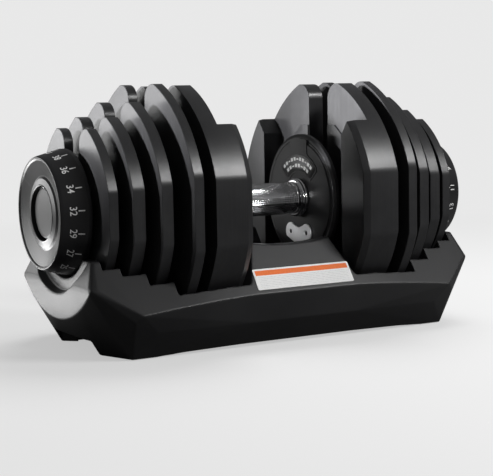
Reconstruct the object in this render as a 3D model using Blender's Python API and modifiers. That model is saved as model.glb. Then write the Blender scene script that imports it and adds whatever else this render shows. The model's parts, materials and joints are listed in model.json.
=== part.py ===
"""Adjustable dial dumbbell resting in its tray.

Metres, +Z up, +X along the handle. The origin is on the floor below the handle's middle.
Both ends are the same: an end's pieces are drawn with +X pointing outward and z = 0 on the
handle's axis, and the left end is the right end turned half a turn about Z.
"""
import math

import bmesh
import bpy
from mathutils import Matrix, Vector

GAP = 0.0003                    # clearance between pieces that touch
AXIS_Z = 0.126                  # height of the handle's axis above the floor

# Weight plates, numbered from the outside in: outer face, inner face, half width, arc radius
PLATES = {
    1: (0.1845, 0.1755, 0.0773, 0.0954),
    2: (0.1655, 0.1539, 0.0856, 0.1038),
    3: (0.1435, 0.1326, 0.0966, 0.1155),
    4: (0.1190, 0.1094, 0.1100, 0.1300),
    5: (0.0975, 0.0807, 0.1095, 0.1286),
}
PLATE_UNITS = {5: 6, 4: 4, 3: 3, 2: 2, 1: 1}    # weight of each plate, in steps of the dial
ARC_OFFSET = 0.0143             # a plate's side arc is centred this far past the middle
ARC_DROP = 0.0073               # and this far below the axis
SLOT_RADIUS = 0.0167            # half width of the slot that the shaft drops into
HORN_Y = 0.0347                 # where a horn's outer arc starts
HORN_ROUND = 0.0150             # radius of a horn's inner top corner
FOOT_TRIM = 0.0023              # flat cut under a plate, above the mirrored horn tips

# Blocks on the inner side of plate 5, either side of the end guard
BLOCK_RIM = 0.0660
BLOCK_FACE = 0.0596
BLOCK_CHAMFER = 0.0028
BLOCK_INNER = 0.0703
BLOCK_SHOULDER = 0.0620         # height above the axis where the inner edge turns outward
BLOCK_TOP_Y = 0.0830

# Steel hook under each plate's slot, which a selector disc's rim lifts
HOOK_HALF = 0.0070
HOOK_SHEET = 0.0015
HOOK_TOP = -0.0240
HOOK_LIP = -0.0290
HOOK_BOTTOM = -0.0520
HOOK_REACH = 0.0050

# Selector discs, their sleeve and the dial
SETTINGS = 17
SECTORS = SETTINGS              # the settings stand evenly all round
STEP_ANGLE = 2 * math.pi / SECTORS
SHAFT_RADIUS = 0.0120
DISC_BACK = 0.0075              # back of a disc, inward of its plate's inner face
DISC_WEB = 0.0020
DISC_FLANGE = 0.0052
FLANGE_INNER = 0.0310
FLANGE_OUTER = 0.0340
SLEEVE_BORE = 0.0068
SLEEVE_START = 0.0634
SLEEVE_END = 0.1960
LOCK_TIP = 0.0210
LOCK_ROOT = 0.0165
LOCK_WIDTH = 0.0030
DIAL_FACE = 0.2180
DIAL_BACK = 0.1905
DIAL_WIDEST = 0.0570
DIAL_RIM = 0.0508
DIAL_BAND = 0.0040              # straight part of the number ring, beside the plates
DIAL_BEVEL = 0.0008
DIAL_INSIDE = (0.2097, 0.0340)  # inner corner behind the dish
DIAL_DISH = (0.2130, 0.0326)    # where the dished face meets the boss
BOSS_FACE = 0.2160
CUP_FLOOR = 0.2035              # inner face of the dial, behind the boss
HUB_RADIUS = 0.0170
CAP_SEAT = 0.2070
CAP_FACE = 0.2135
CAP_RADIUS = 0.0227
CAP_GROOVE = 0.0018

# Handle
GRIP_RADIUS = 0.01575
GRIP_BORE = 0.0120
GRIP_HALF = 0.0490
COLLAR_RADIUS = 0.0188
GUARD_FACE = 0.0570
GUARD_BACK = 0.0630
GUARD_RADIUS = 0.0625
GUARD_STEP = 0.0012             # depth of each step of its rim
GUARD_RINGS = (0.0595, 0.0545, 0.0540)
BADGE_RADII = (0.0270, 0.0425)
BADGE_REACH = math.radians(48.0)
BADGE_CORNER = math.radians(4.0)
BADGE_SHEET = 0.0012
BRACKET_SHEET = 0.0015
BRACKET_LOBE = (0.0140, -0.0345, 0.0090)    # the right lobe's centre and radius
BRACKET_DIP = -0.0300
BRACKET_BOTTOM = ((0.0130, -0.0430), (0.0, -0.0453))
BRACKET_HOLE = (0.0142, -0.0346, 0.0025)
ROD_RADIUS = 0.0065
ROD_END = 0.2055
NUT_RADIUS = 0.0112
NUT_WIDTH = 0.0072
COLLAR_BEVEL = 0.0015

# Lock slider between the guard and plate 5
SLIDER_BACK = 0.0678
SLIDER_OPENING = 0.0260
SLIDER_RING = 0.0320
SLIDER_TAIL_HALF = 0.0080
SLIDER_TAIL = -0.0520
SLIDER_HEAD_HALF = 0.0060
SLIDER_HEAD = 0.0360
SLIDER_DROP = 0.0040
TOOTH_HALF = math.radians(6.0)
TOOTH_TIP = 0.0216
RAIL_WIDTH = 0.0030
LEDGE_BOTTOM = 0.0503
LEDGE_HEIGHT = 0.0040
SPRING_X = 0.0660
SPRING_RADIUS = 0.0019
SPRING_WIRE = 0.00045
SPRING_TURNS = 4

# Tray
TRAY_BASE = 0.0008
TRAY_EDGE_X = 0.1654
TRAY_EDGE_Y = 0.1035
TRAY_EDGE_Z = 0.0518
TRAY_EDGE_SETBACK = 0.0025
TRAY_EDGE_FALL = 0.0103
BRIDGE_TOP = (0.0430, 0.0734, 0.0933)
BRIDGE_DIP = 0.0032
FRONT_CORNER = (0.1713, 0.0967, 0.0355)
SKIRT_RIDGE = ((0.0550, 0.0995, 0.0250), (0.1500, 0.0960, 0.0250))
FOOT_CORNERS = ((0.1680, 0.0810), (0.1815, 0.0450))
BAND_CORNER = (0.1990, 0.0795, 0.0650)
RIDGE_TOP = ((0.1970, 0.0625, 0.0872), (0.1950, 0.0650, 0.0864))
END_CORNER = ((0.2047, 0.0735, 0.0655), (0.2049, 0.0762, 0.0610), (0.2036, 0.0786, 0.0636))
SHIELD_X = 0.2045
SHIELD_RADIUS = 0.1120
SHIELD_CENTRE_Z = 0.1424
POCKET_CLEARANCE = 0.0045
POCKET_START = 0.0570
POCKET_STEPS = {5: 0.1280, 3: 0.1512, 2: 0.1728, 1: 0.1889}    # the opening for 5 also takes 4
RIB_HEIGHT = 0.0120
PLATE_CLEARANCE = 0.0010
POCKET_TOP = 0.1200
TROUGH_HALF = 0.0620
TROUGH_FLOOR = 0.0450
TOE_X = 0.0550                  # the pedestal under a guard, from the trough's wall to plate 5
PEDESTAL_END = 0.0798
PEDESTAL_HALF = 0.0640
PEDESTAL_TOP = 0.0400
FLANK = ((0.0600, 0.0562), (0.0576, 0.0562), (0.0424, 0.0940), (0.0424, 0.1100), (0.0600, 0.1100))
FLANK_HALF = 0.0962
CRADLE_RADIUS = 0.0595
RECESS_RADIUS = 0.0715
RECESS_X = 0.1970
WALL = 0.0030
PAD_RADIUS = 0.0090
PAD_HEIGHT = 0.0030
PAD_X = 0.1520
PAD_Y = 0.0620
STICKER_SIZE = (0.1034, 0.0210)
STICKER_Z = 0.0623
STICKER_THICKNESS = 0.0004

ALONG_X = Matrix(((0, 0, 1), (1, 0, 0), (0, 1, 0))).to_4x4()    # outline (y, z), thickness on X
ALONG_Y = Matrix.Rotation(math.pi / 2, 4, "X")                  # outline (x, z), thickness on Y
ALONG_Z = Matrix.Identity(4)                                    # outline (x, y), thickness on Z
TURNED_ON_X = Matrix.Rotation(math.pi / 2, 4, "Y")
HALF_TURN = Matrix.Rotation(math.pi, 4, "Z")


# ---------------------------------------------------------------- scene and materials

def clear_scene():
    for obj in list(bpy.data.objects):
        bpy.data.objects.remove(obj, do_unlink=True)


def new_collection(name):
    collection = bpy.data.collections.new(name)
    bpy.context.scene.collection.children.link(collection)
    return collection


def material(name, colour, roughness, metallic=0.0):
    made = bpy.data.materials.new(name)
    made.use_nodes = True
    shader = made.node_tree.nodes["Principled BSDF"]
    shader.inputs["Base Color"].default_value = (*colour, 1.0)
    shader.inputs["Roughness"].default_value = roughness
    shader.inputs["Metallic"].default_value = metallic
    return made


clear_scene()
PARTS = new_collection("adjustable_dumbbell")
CUTTERS = new_collection("cutters")
BLACK_PLASTIC = material("black_plastic", (0.028, 0.028, 0.030), 0.55)
TRAY_PLASTIC = material("tray_plastic", (0.035, 0.035, 0.037), 0.60)
PLATE_COATING = material("plate_coating", (0.030, 0.030, 0.032), 0.50)
CHROME = material("chrome", (0.80, 0.80, 0.82), 0.12, 1.0)
STEEL = material("steel", (0.55, 0.55, 0.57), 0.35, 1.0)
SILVER = material("silver_plate", (0.78, 0.78, 0.78), 0.35, 0.8)
RUBBER = material("rubber", (0.02, 0.02, 0.02), 0.90)
PAPER = material("sticker_paper", (0.85, 0.85, 0.83), 0.50)


# ---------------------------------------------------------------- modelling helpers

def mesh_object(name, mesh, matrix=ALONG_Z):
    obj = bpy.data.objects.new(name, mesh)
    PARTS.objects.link(obj)
    obj.matrix_world = matrix
    return obj


def bake(obj):
    """Replace an object's mesh by its evaluated one, in the coordinates of its parent end."""
    bpy.context.view_layer.update()
    depsgraph = bpy.context.evaluated_depsgraph_get()
    mesh = bpy.data.meshes.new_from_object(obj.evaluated_get(depsgraph))
    mesh.transform(obj.matrix_world)
    obj.modifiers.clear()
    obj.data = mesh
    obj.matrix_world = Matrix.Identity(4)
    return obj


def curve_mesh(name, curve, matrix):
    """A closed mesh object from a curve, with its caps welded on."""
    traced = bpy.data.objects.new(name + "_curve", curve)
    PARTS.objects.link(traced)
    traced.matrix_world = matrix
    bpy.context.view_layer.update()
    depsgraph = bpy.context.evaluated_depsgraph_get()
    mesh = bpy.data.meshes.new_from_object(traced.evaluated_get(depsgraph))
    mesh.transform(traced.matrix_world)
    bpy.data.objects.remove(traced, do_unlink=True)
    bm = bmesh.new()
    bm.from_mesh(mesh)
    bmesh.ops.remove_doubles(bm, verts=bm.verts, dist=0.00001)
    bmesh.ops.recalc_face_normals(bm, faces=bm.faces)
    bm.to_mesh(mesh)
    bm.free()
    return mesh_object(name, mesh)


def prism(name, outlines, start, end, facing=ALONG_X):
    """A flat outline, with any further outlines as its holes, thick from start to end."""
    curve = bpy.data.curves.new(name, "CURVE")
    curve.dimensions = "2D"
    curve.fill_mode = "BOTH"
    curve.extrude = abs(end - start) / 2
    for outline in outlines:
        spline = curve.splines.new("POLY")
        spline.points.add(len(outline) - 1)
        for point, (u, v) in zip(spline.points, outline):
            point.co = (u, v, 0.0, 1.0)
        spline.use_cyclic_u = True
    middle = (start + end) / 2 * (-1 if facing is ALONG_Y else 1)
    return curve_mesh(name, curve, facing @ Matrix.Translation((0.0, 0.0, middle)))


def turned(name, profile, steps, closed=True):
    """A body turned on X. The profile is (x, radius), down its outer side from the outward end."""
    bm = bmesh.new()
    verts = [bm.verts.new((radius, 0.0, x)) for x, radius in profile]
    for first, second in zip(verts, verts[1:]):
        bm.edges.new((first, second))
    if closed:
        bm.edges.new((verts[-1], verts[0]))
    mesh = bpy.data.meshes.new(name)
    bm.to_mesh(mesh)
    bm.free()
    obj = mesh_object(name, mesh, TURNED_ON_X)
    screw = obj.modifiers.new("turn", "SCREW")
    screw.steps = steps
    screw.render_steps = steps
    screw.use_merge_vertices = True
    screw.merge_threshold = 0.00001
    return bake(obj)


def loft(name, sections):
    """A solid through outlines of equal count. Each section is (x, outline of (y, z))."""
    bm = bmesh.new()
    rings = [[bm.verts.new((x, y, z)) for y, z in outline] for x, outline in sections]
    for ring, following in zip(rings, rings[1:]):
        count = len(ring)
        for i in range(count):
            j = (i + 1) % count
            bm.faces.new((ring[i], ring[j], following[j], following[i]))
    bm.faces.new(rings[0])
    bm.faces.new(rings[-1])
    bmesh.ops.recalc_face_normals(bm, faces=bm.faces)
    mesh = bpy.data.meshes.new(name)
    bm.to_mesh(mesh)
    bm.free()
    return mesh_object(name, mesh)


def box(name, low, high):
    bm = bmesh.new()
    bmesh.ops.create_cube(bm, size=1.0)
    size = Vector(high) - Vector(low)
    bmesh.ops.scale(bm, vec=size, verts=bm.verts)
    bmesh.ops.translate(bm, vec=Vector(low) + size / 2, verts=bm.verts)
    mesh = bpy.data.meshes.new(name)
    bm.to_mesh(mesh)
    bm.free()
    return mesh_object(name, mesh)


def combine(obj, tools, operation):
    """Cut the tools from an object, or join them to it, and keep them as hidden guides."""
    bpy.context.view_layer.update()
    for tool in tools:
        tool.name = obj.name + "_" + tool.name
        PARTS.objects.unlink(tool)
        CUTTERS.objects.link(tool)
        tool.hide_render = True
        tool.display_type = "WIRE"
        boolean = obj.modifiers.new(tool.name, "BOOLEAN")
        boolean.operation = operation
        boolean.solver = "EXACT"
        boolean.object = tool
    return bake(obj)


def merge_close_points(obj, distance):
    """Merge points left very close together by many cuts, then split the faces into triangles."""
    bm = bmesh.new()
    bm.from_mesh(obj.data)
    bmesh.ops.remove_doubles(bm, verts=bm.verts, dist=distance)
    bmesh.ops.dissolve_degenerate(bm, edges=bm.edges, dist=distance / 2)
    bmesh.ops.triangulate(bm, faces=bm.faces)
    bm.to_mesh(obj.data)
    bm.free()


def finish(obj, made_of, smooth=False):
    obj.data.materials.clear()
    obj.data.materials.append(made_of)
    if smooth:
        obj.data.shade_smooth()
        obj.data.set_sharp_from_angle(angle=math.radians(35.0))
    return obj


def circle(radius, count, centre=(0.0, 0.0), phase=0.0):
    angles = [phase + 2 * math.pi * i / count for i in range(count)]
    return [(centre[0] + radius * math.cos(a), centre[1] + radius * math.sin(a)) for a in angles]


def arc(centre, radius, start, end, steps):
    angles = [start + (end - start) * i / steps for i in range(steps + 1)]
    return [(centre[0] + radius * math.cos(a), centre[1] + radius * math.sin(a)) for a in angles]


def mirrored(half):
    """A closed outline from its right half, which runs from the top middle to the bottom middle."""
    return half + [(-u, v) for u, v in reversed(half)]


def rectangle(u0, v0, u1, v1):
    return [(u0, v0), (u1, v0), (u1, v1), (u0, v1)]


class End:
    """One end of the dumbbell: its empty stands on the handle's axis, +X pointing outward."""

    def __init__(self, name, matrix):
        self.name = name
        self.empty = bpy.data.objects.new("end_" + name, None)
        self.empty.matrix_world = Matrix.Translation((0.0, 0.0, AXIS_Z)) @ matrix
        PARTS.objects.link(self.empty)


ENDS = [End("right", Matrix.Identity(4)), End("left", HALF_TURN)]


def on_both_ends(obj):
    """Stand an end's piece at the right end, and a copy that shares its mesh at the left end."""
    stem = obj.name
    copies = [obj, obj.copy()]
    PARTS.objects.link(copies[1])
    for copy, end in zip(copies, ENDS):
        copy.name = stem + "_" + end.name
        copy.parent = end.empty
        copy.matrix_basis = Matrix.Identity(4)


# ---------------------------------------------------------------- weight plates

def arc_height(radius, y):
    """Height above the axis of a plate's upper side arc."""
    return math.sqrt(radius ** 2 - (y + ARC_OFFSET) ** 2) - ARC_DROP


def plate_top(number):
    return arc_height(PLATES[number][3], HORN_Y)


def plate_bottom(number):
    return -plate_top(number) + FOOT_TRIM


def side_arc(radius, y_from, y_to, steps):
    """Points down a plate's upper side arc, between two distances from the middle."""
    start, end = (math.acos((y + ARC_OFFSET) / radius) for y in (y_from, y_to))
    return arc((-ARC_OFFSET, -ARC_DROP), radius, start, end, steps)


def flipped(points):
    """The mirror image of an upper stretch below the axis, running on from it."""
    return [(u, -v) for u, v in reversed(points)]


def plate_outline(number):
    half_width, radius = PLATES[number][2:]
    top = plate_top(number)
    bottom = plate_bottom(number)
    slot = arc((0.0, 0.0), SLOT_RADIUS, -math.pi / 2, 0.0, 4)
    horn = arc((SLOT_RADIUS + HORN_ROUND, top - HORN_ROUND), HORN_ROUND, math.pi, math.pi / 2, 4)
    side = side_arc(radius, HORN_Y, half_width, 7)
    foot_y = math.sqrt(radius ** 2 - (ARC_DROP - bottom) ** 2) - ARC_OFFSET
    lower = flipped(side_arc(radius, foot_y, half_width, 6))
    half = slot[1:] + horn + side + lower
    return [slot[0]] + half + [(-u, v) for u, v in reversed(half)]


def block_outline(inset):
    """The block beside the guard, its outer edge drawn in by the inset."""
    half_width, radius = PLATES[5][2] - inset, PLATES[5][3] - inset
    side = side_arc(radius, BLOCK_TOP_Y - inset, half_width, 6)
    upper = [(BLOCK_INNER, BLOCK_SHOULDER)] + side
    return upper + flipped(upper)


def make_block(name, side):
    sections = [(PLATES[5][1] + WALL, 0.0), (BLOCK_RIM, 0.0), (BLOCK_FACE, BLOCK_CHAMFER)]
    return loft(name, [(x, [(side * y, z) for y, z in block_outline(inset)]) for x, inset in sections])


def make_plates():
    for number, (outer, inner, _, _) in PLATES.items():
        plate = prism(f"weight_plate_{number}", [plate_outline(number)], inner, outer)
        if number == 5:
            combine(plate, [make_block("block_front", -1), make_block("block_rear", 1)], "UNION")
        on_both_ends(finish(plate, PLATE_COATING))


def make_hooks():
    """An angled steel bracket on each plate's inner face, its lip above the disc's rim."""
    for number, (_, inner, _, _) in PLATES.items():
        face = inner - GAP
        back = face - HOOK_SHEET
        tip = inner - HOOK_REACH
        outline = [(face, HOOK_BOTTOM), (face, HOOK_TOP), (tip, HOOK_TOP),
                   (tip, HOOK_LIP), (back, HOOK_LIP), (back, HOOK_BOTTOM)]
        hook = prism(f"plate_hook_{number}", [outline], -HOOK_HALF, HOOK_HALF, ALONG_Y)
        on_both_ends(finish(hook, STEEL))


# ---------------------------------------------------------------- selector train

def plates_taken(setting):
    """The plates that a setting of the dial picks up, heaviest first."""
    taken = []
    rest = setting
    for number, units in PLATE_UNITS.items():
        if units <= rest:
            taken.append(number)
            rest -= units
    return taken


def make_disc(number):
    """A selector disc: its rim stands out only where a setting takes its plate.

    Sector 0 is straight down at the heaviest setting, and each lighter setting is one sector on.
    """
    back = PLATES[number][1] - DISC_BACK
    web = back + DISC_WEB
    rim = back + DISC_FLANGE
    bm = bmesh.new()
    radii = (SHAFT_RADIUS + GAP, FLANGE_INNER, FLANGE_OUTER)
    first = -math.pi / 2 + STEP_ANGLE / 2
    rings = [[bm.verts.new((web, y, z)) for y, z in circle(radius, SECTORS, phase=first)]
             for radius in radii]
    sectors = []
    for ring, following in zip(rings, rings[1:]):
        for i in range(SECTORS):
            j = (i - 1) % SECTORS
            sectors.append(bm.faces.new((ring[j], ring[i], following[i], following[j])))
    rim_sectors = sectors[SECTORS:]
    raised = [rim_sectors[-k % SECTORS] for k in range(SETTINGS)
              if number in plates_taken(SETTINGS - 1 - k)]
    lower = bmesh.ops.extrude_face_region(bm, geom=list(bm.faces), use_keep_orig=True)
    moved = [item for item in lower["geom"] if isinstance(item, bmesh.types.BMVert)]
    bmesh.ops.translate(bm, vec=(back - web, 0.0, 0.0), verts=moved)
    upper = bmesh.ops.extrude_face_region(bm, geom=raised)
    moved = [item for item in upper["geom"] if isinstance(item, bmesh.types.BMVert)]
    bmesh.ops.translate(bm, vec=(rim - web, 0.0, 0.0), verts=moved)
    bmesh.ops.delete(bm, geom=raised, context="FACES")
    bmesh.ops.recalc_face_normals(bm, faces=bm.faces)
    mesh = bpy.data.meshes.new(f"selector_disc_{number}")
    bm.to_mesh(mesh)
    bm.free()
    on_both_ends(finish(mesh_object(f"selector_disc_{number}", mesh), BLACK_PLASTIC))


def lock_teeth():
    """Notched outline of the sleeve's flange, with a notch straight up."""
    count = 2 * SECTORS
    points = []
    for i in range(count):
        radius = LOCK_ROOT if i % 2 == 0 else LOCK_TIP
        angle = math.pi / 2 + STEP_ANGLE / 2 * i
        points.append((radius * math.cos(angle), radius * math.sin(angle)))
    return points


def make_sleeve():
    shaft = circle(SHAFT_RADIUS, 2 * SECTORS, phase=math.pi / 2)
    flange = SLEEVE_START + LOCK_WIDTH
    sections = [(SLEEVE_START, lock_teeth()), (flange, lock_teeth()), (flange, shaft), (SLEEVE_END, shaft)]
    sleeve = loft("selector_sleeve", sections)
    bore = prism("bore", [circle(SLEEVE_BORE, 24)], SLEEVE_START - WALL, SLEEVE_END + WALL)
    combine(sleeve, [bore], "DIFFERENCE")
    on_both_ends(finish(sleeve, BLACK_PLASTIC, smooth=True))


def make_dial():
    """A cup with a conical number ring, a dished face and a raised boss around the cap."""
    hub = SHAFT_RADIUS + GAP
    bevel = DIAL_BEVEL
    dish_x, dish_radius = DIAL_DISH
    well = CAP_RADIUS + CAP_GROOVE
    profile = [
        (DIAL_FACE, DIAL_RIM - bevel), (DIAL_FACE - bevel, DIAL_RIM),
        (DIAL_BACK + DIAL_BAND, DIAL_WIDEST), (DIAL_BACK, DIAL_WIDEST),
        (DIAL_BACK, DIAL_WIDEST - WALL), (DIAL_INSIDE[0], DIAL_RIM - WALL), DIAL_INSIDE,
        (CUP_FLOOR, DIAL_INSIDE[1] - 2 * WALL), (CUP_FLOOR, HUB_RADIUS), (DIAL_BACK, HUB_RADIUS),
        (DIAL_BACK, hub), (CAP_SEAT, hub), (CAP_SEAT, well), (BOSS_FACE, well),
        (BOSS_FACE, well + bevel), (dish_x, dish_radius), (DIAL_FACE - bevel, DIAL_RIM - 2 * bevel),
    ]
    on_both_ends(finish(turned("dial", profile, 36), BLACK_PLASTIC, smooth=True))
    back = CAP_SEAT + GAP
    cap = [(CAP_FACE, 0.0), (CAP_FACE, CAP_RADIUS - bevel), (CAP_FACE - bevel, CAP_RADIUS),
           (back, CAP_RADIUS), (back, 0.0)]
    on_both_ends(finish(turned("dial_cap", cap, 32, closed=False), BLACK_PLASTIC, smooth=True))


# ---------------------------------------------------------------- handle

def make_grip():
    tube = [(GRIP_HALF, GRIP_RADIUS), (-GRIP_HALF, GRIP_RADIUS),
            (-GRIP_HALF, GRIP_BORE), (GRIP_HALF, GRIP_BORE)]
    grip = finish(turned("handle_grip", tube, 32), CHROME, smooth=True)
    rod = [(ROD_END, 0.0), (ROD_END, ROD_RADIUS), (-ROD_END, ROD_RADIUS), (-ROD_END, 0.0)]
    axle = finish(turned("axle_rod", rod, 20, closed=False), STEEL, smooth=True)
    for obj in (grip, axle):
        obj.location.z = AXIS_Z
    start, end = GRIP_HALF + GAP, GUARD_FACE - GAP
    collar = [(end, COLLAR_RADIUS), (start + COLLAR_BEVEL, COLLAR_RADIUS),
              (start, COLLAR_RADIUS - COLLAR_BEVEL), (start, GRIP_BORE), (end, GRIP_BORE)]
    on_both_ends(finish(turned("grip_collar", collar, 32), CHROME, smooth=True))
    nut = prism("axle_nut", [circle(NUT_RADIUS, 6), circle(ROD_RADIUS + GAP, 20)],
                SLEEVE_END + GAP, SLEEVE_END + GAP + NUT_WIDTH)
    on_both_ends(finish(nut, STEEL))


def make_guard():
    """The disc beside the grip, with rails and a spring ledge for the lock slider on its back."""
    bore = ROD_RADIUS + GAP
    outer, groove, inner = GUARD_RINGS
    step = GUARD_FACE + GUARD_STEP
    profile = [(GUARD_BACK, GUARD_RADIUS), (step + GUARD_STEP, GUARD_RADIUS), (step, outer),
               (step, groove), (GUARD_FACE, inner), (GUARD_FACE, bore), (GUARD_BACK, bore)]
    guard = turned("end_guard", profile, 40)
    rail = SLIDER_TAIL_HALF + GAP
    rail_x = (GUARD_BACK - WALL / 2, SLIDER_BACK)
    ledge_x = rail_x[1] + BRACKET_SHEET
    tools = [box("spring_ledge", (rail_x[0], -SLIDER_HEAD_HALF, LEDGE_BOTTOM),
                 (ledge_x, SLIDER_HEAD_HALF, LEDGE_BOTTOM + LEDGE_HEIGHT))]
    rail_z = (SLIDER_TAIL + SLIDER_DROP, -SLIDER_RING - SLIDER_DROP - GAP)
    for name, side in (("rail_front", -1), ("rail_rear", 1)):
        ys = sorted((side * rail, side * (rail + RAIL_WIDTH)))
        tools.append(box(name, (rail_x[0], ys[0], rail_z[0]), (rail_x[1], ys[1], rail_z[1])))
    combine(guard, tools, "UNION")
    on_both_ends(finish(guard, BLACK_PLASTIC, smooth=True))


def make_badge():
    """A curved plate above the grip, with the same bend as the guard's rim."""
    inner, outer = BADGE_RADII
    top = math.pi / 2
    inset = (outer - inner) / 5
    half = arc((0.0, 0.0), outer, top, top - BADGE_REACH + BADGE_CORNER, 6)
    half += arc((0.0, 0.0), outer - inset, top - BADGE_REACH, top - BADGE_REACH, 1)[:1]
    half += arc((0.0, 0.0), inner + inset, top - BADGE_REACH, top - BADGE_REACH, 1)[:1]
    half += arc((0.0, 0.0), inner, top - BADGE_REACH + BADGE_CORNER, top, 5)
    outline = half + [(-u, v) for u, v in reversed(half[1:-1])]
    face = GUARD_FACE - GAP
    badge = prism("guard_badge", [outline], face - BADGE_SHEET, face)
    on_both_ends(finish(badge, BLACK_PLASTIC))


def make_bracket():
    """The bright kidney-shaped plate below the grip, held by two screws through its holes."""
    lobe_y, lobe_z, lobe = BRACKET_LOBE
    right = arc((lobe_y, lobe_z), lobe, math.radians(125.0), math.radians(-20.0), 6)
    outline = [(0.0, BRACKET_DIP)] + right + list(BRACKET_BOTTOM)
    outline += [(-u, v) for u, v in reversed(outline[1:-1])]
    hole_y, hole_z, hole = BRACKET_HOLE
    holes = [circle(hole, 12, centre=(side * hole_y, hole_z)) for side in (-1, 1)]
    face = GUARD_FACE - GAP
    bracket = prism("lock_bracket", [outline] + holes, face - BRACKET_SHEET, face)
    on_both_ends(finish(bracket, SILVER))


def make_slider():
    """A plate around the sleeve's notched flange, with a tooth at the top of its opening."""
    ring_join = math.asin(SLIDER_HEAD_HALF / SLIDER_RING)
    tail_join = math.asin(SLIDER_TAIL_HALF / SLIDER_RING)
    up = math.pi / 2
    half = [(SLIDER_HEAD_HALF, SLIDER_HEAD)]
    half += arc((0.0, 0.0), SLIDER_RING, up - ring_join, tail_join - up, 10)
    half += [(SLIDER_TAIL_HALF, SLIDER_TAIL)]
    opening = arc((0.0, 0.0), SLIDER_OPENING, up + TOOTH_HALF, up - TOOTH_HALF + 2 * math.pi, 20)
    opening.append((0.0, TOOTH_TIP))
    slider = prism("lock_slider", [mirrored(half), opening], GUARD_BACK + 0.0004, SLIDER_BACK)
    on_both_ends(finish(slider, STEEL))


def make_spring():
    """The coil that presses the slider down, drawn compressed between its head and the ledge."""
    low = SLIDER_HEAD + SPRING_WIRE + GAP
    high = LEDGE_BOTTOM - SPRING_WIRE - GAP
    per_turn = 8
    count = SPRING_TURNS * per_turn
    curve = bpy.data.curves.new("lock_spring", "CURVE")
    curve.dimensions = "3D"
    curve.bevel_depth = SPRING_WIRE
    curve.bevel_resolution = 2
    curve.use_fill_caps = True
    spline = curve.splines.new("POLY")
    spline.points.add(count)
    for i, point in enumerate(spline.points):
        angle = 2 * math.pi * i / per_turn
        point.co = (SPRING_X + SPRING_RADIUS * math.cos(angle), SPRING_RADIUS * math.sin(angle),
                    low + (high - low) * i / count, 1.0)
    spring = curve_mesh("lock_spring", curve, Matrix.Identity(4))
    on_both_ends(finish(spring, STEEL, smooth=True))


# ---------------------------------------------------------------- tray

def tray_edge(x):
    """The tray's long upper edge, gently bowed outward and upward in the middle."""
    along = (x / TRAY_EDGE_X) ** 2
    return (x, TRAY_EDGE_Y - TRAY_EDGE_SETBACK * along, TRAY_EDGE_Z - TRAY_EDGE_FALL * along)


def tray_hull():
    """The tray's outer form: the hull of its edges in one quarter, mirrored to all four."""
    quarter = [tray_edge(TRAY_EDGE_X * share) for share in (1 / 3, 2 / 3, 1)]
    quarter += [*SKIRT_RIDGE, FRONT_CORNER]
    quarter += [(x, y, TRAY_BASE) for x, y in FOOT_CORNERS]
    quarter += [BAND_CORNER, BRIDGE_TOP, *END_CORNER, *RIDGE_TOP]
    shield = arc((0.0, SHIELD_CENTRE_Z), SHIELD_RADIUS, -math.pi / 2, -math.radians(48.0), 5)
    quarter += [(SHIELD_X, y, z) for y, z in shield]
    bm = bmesh.new()
    for x, y, z in quarter:
        for across in (-1, 1):
            for side in (-1, 1):
                bm.verts.new((across * x, side * y, z))
    bmesh.ops.remove_doubles(bm, verts=bm.verts, dist=0.00001)
    hull = bmesh.ops.convex_hull(bm, input=bm.verts)
    unused = set(hull["geom_interior"] + hull["geom_unused"])
    loose = [item for item in unused if isinstance(item, bmesh.types.BMVert)]
    bmesh.ops.delete(bm, geom=loose, context="VERTS")
    bmesh.ops.recalc_face_normals(bm, faces=bm.faces)
    mesh = bpy.data.meshes.new("tray_body")
    bm.to_mesh(mesh)
    bm.free()
    return mesh_object("tray_body", mesh)


def pocket_floor(number):
    return AXIS_Z + plate_bottom(number) - GAP


def pocket_outline(radius, floor, top, steps):
    """The pocket's section: the plates' lower side arcs, wider by the clearance, and a flat floor."""
    centre_z = AXIS_Z + ARC_DROP
    half = []
    for i in range(steps + 1):
        z = top + (floor - top) * i / steps
        half.append((math.sqrt(radius ** 2 - (centre_z - z) ** 2) - ARC_OFFSET, z))
    return mirrored(half)


def pocket_cutters(side):
    """One end's pocket: a stepped opening for all the plates, and a deeper slot for each."""
    tools = []
    start = POCKET_START
    for number in (5, 3, 2, 1):
        end = POCKET_STEPS[number]
        shelf = pocket_floor(4 if number == 5 else number) + RIB_HEIGHT
        radius = PLATES[number][3] + POCKET_CLEARANCE
        outline = pocket_outline(radius, shelf, POCKET_TOP, 10)
        tools.append(prism(f"opening_{number}", [outline], side * start, side * end))
        start = end - WALL / 2
    for number, (outer, inner, _, radius) in PLATES.items():
        floor = pocket_floor(number)
        low = POCKET_START + PLATE_CLEARANCE / 2 if number == 5 else inner - PLATE_CLEARANCE
        high = outer + PLATE_CLEARANCE
        top = floor + RIB_HEIGHT + WALL / 2
        outline = pocket_outline(radius + POCKET_CLEARANCE - PLATE_CLEARANCE, floor, top, 3)
        tools.append(prism(f"slot_{number}", [outline], side * low, side * high))
    return tools


def cradle_cutter():
    """The seat for a dial in the tray's end: a shallow round recess with a deeper bore."""
    profile = [(0.2300, RECESS_RADIUS), (RECESS_X, RECESS_RADIUS), (RECESS_X, CRADLE_RADIUS),
               (POCKET_STEPS[1] - WALL / 2, CRADLE_RADIUS), (POCKET_STEPS[1] - WALL / 2, 0.0), (0.2300, 0.0)]
    return turned("cradle", list(profile[-1:]) + profile[:-1], 40, closed=False)


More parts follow.
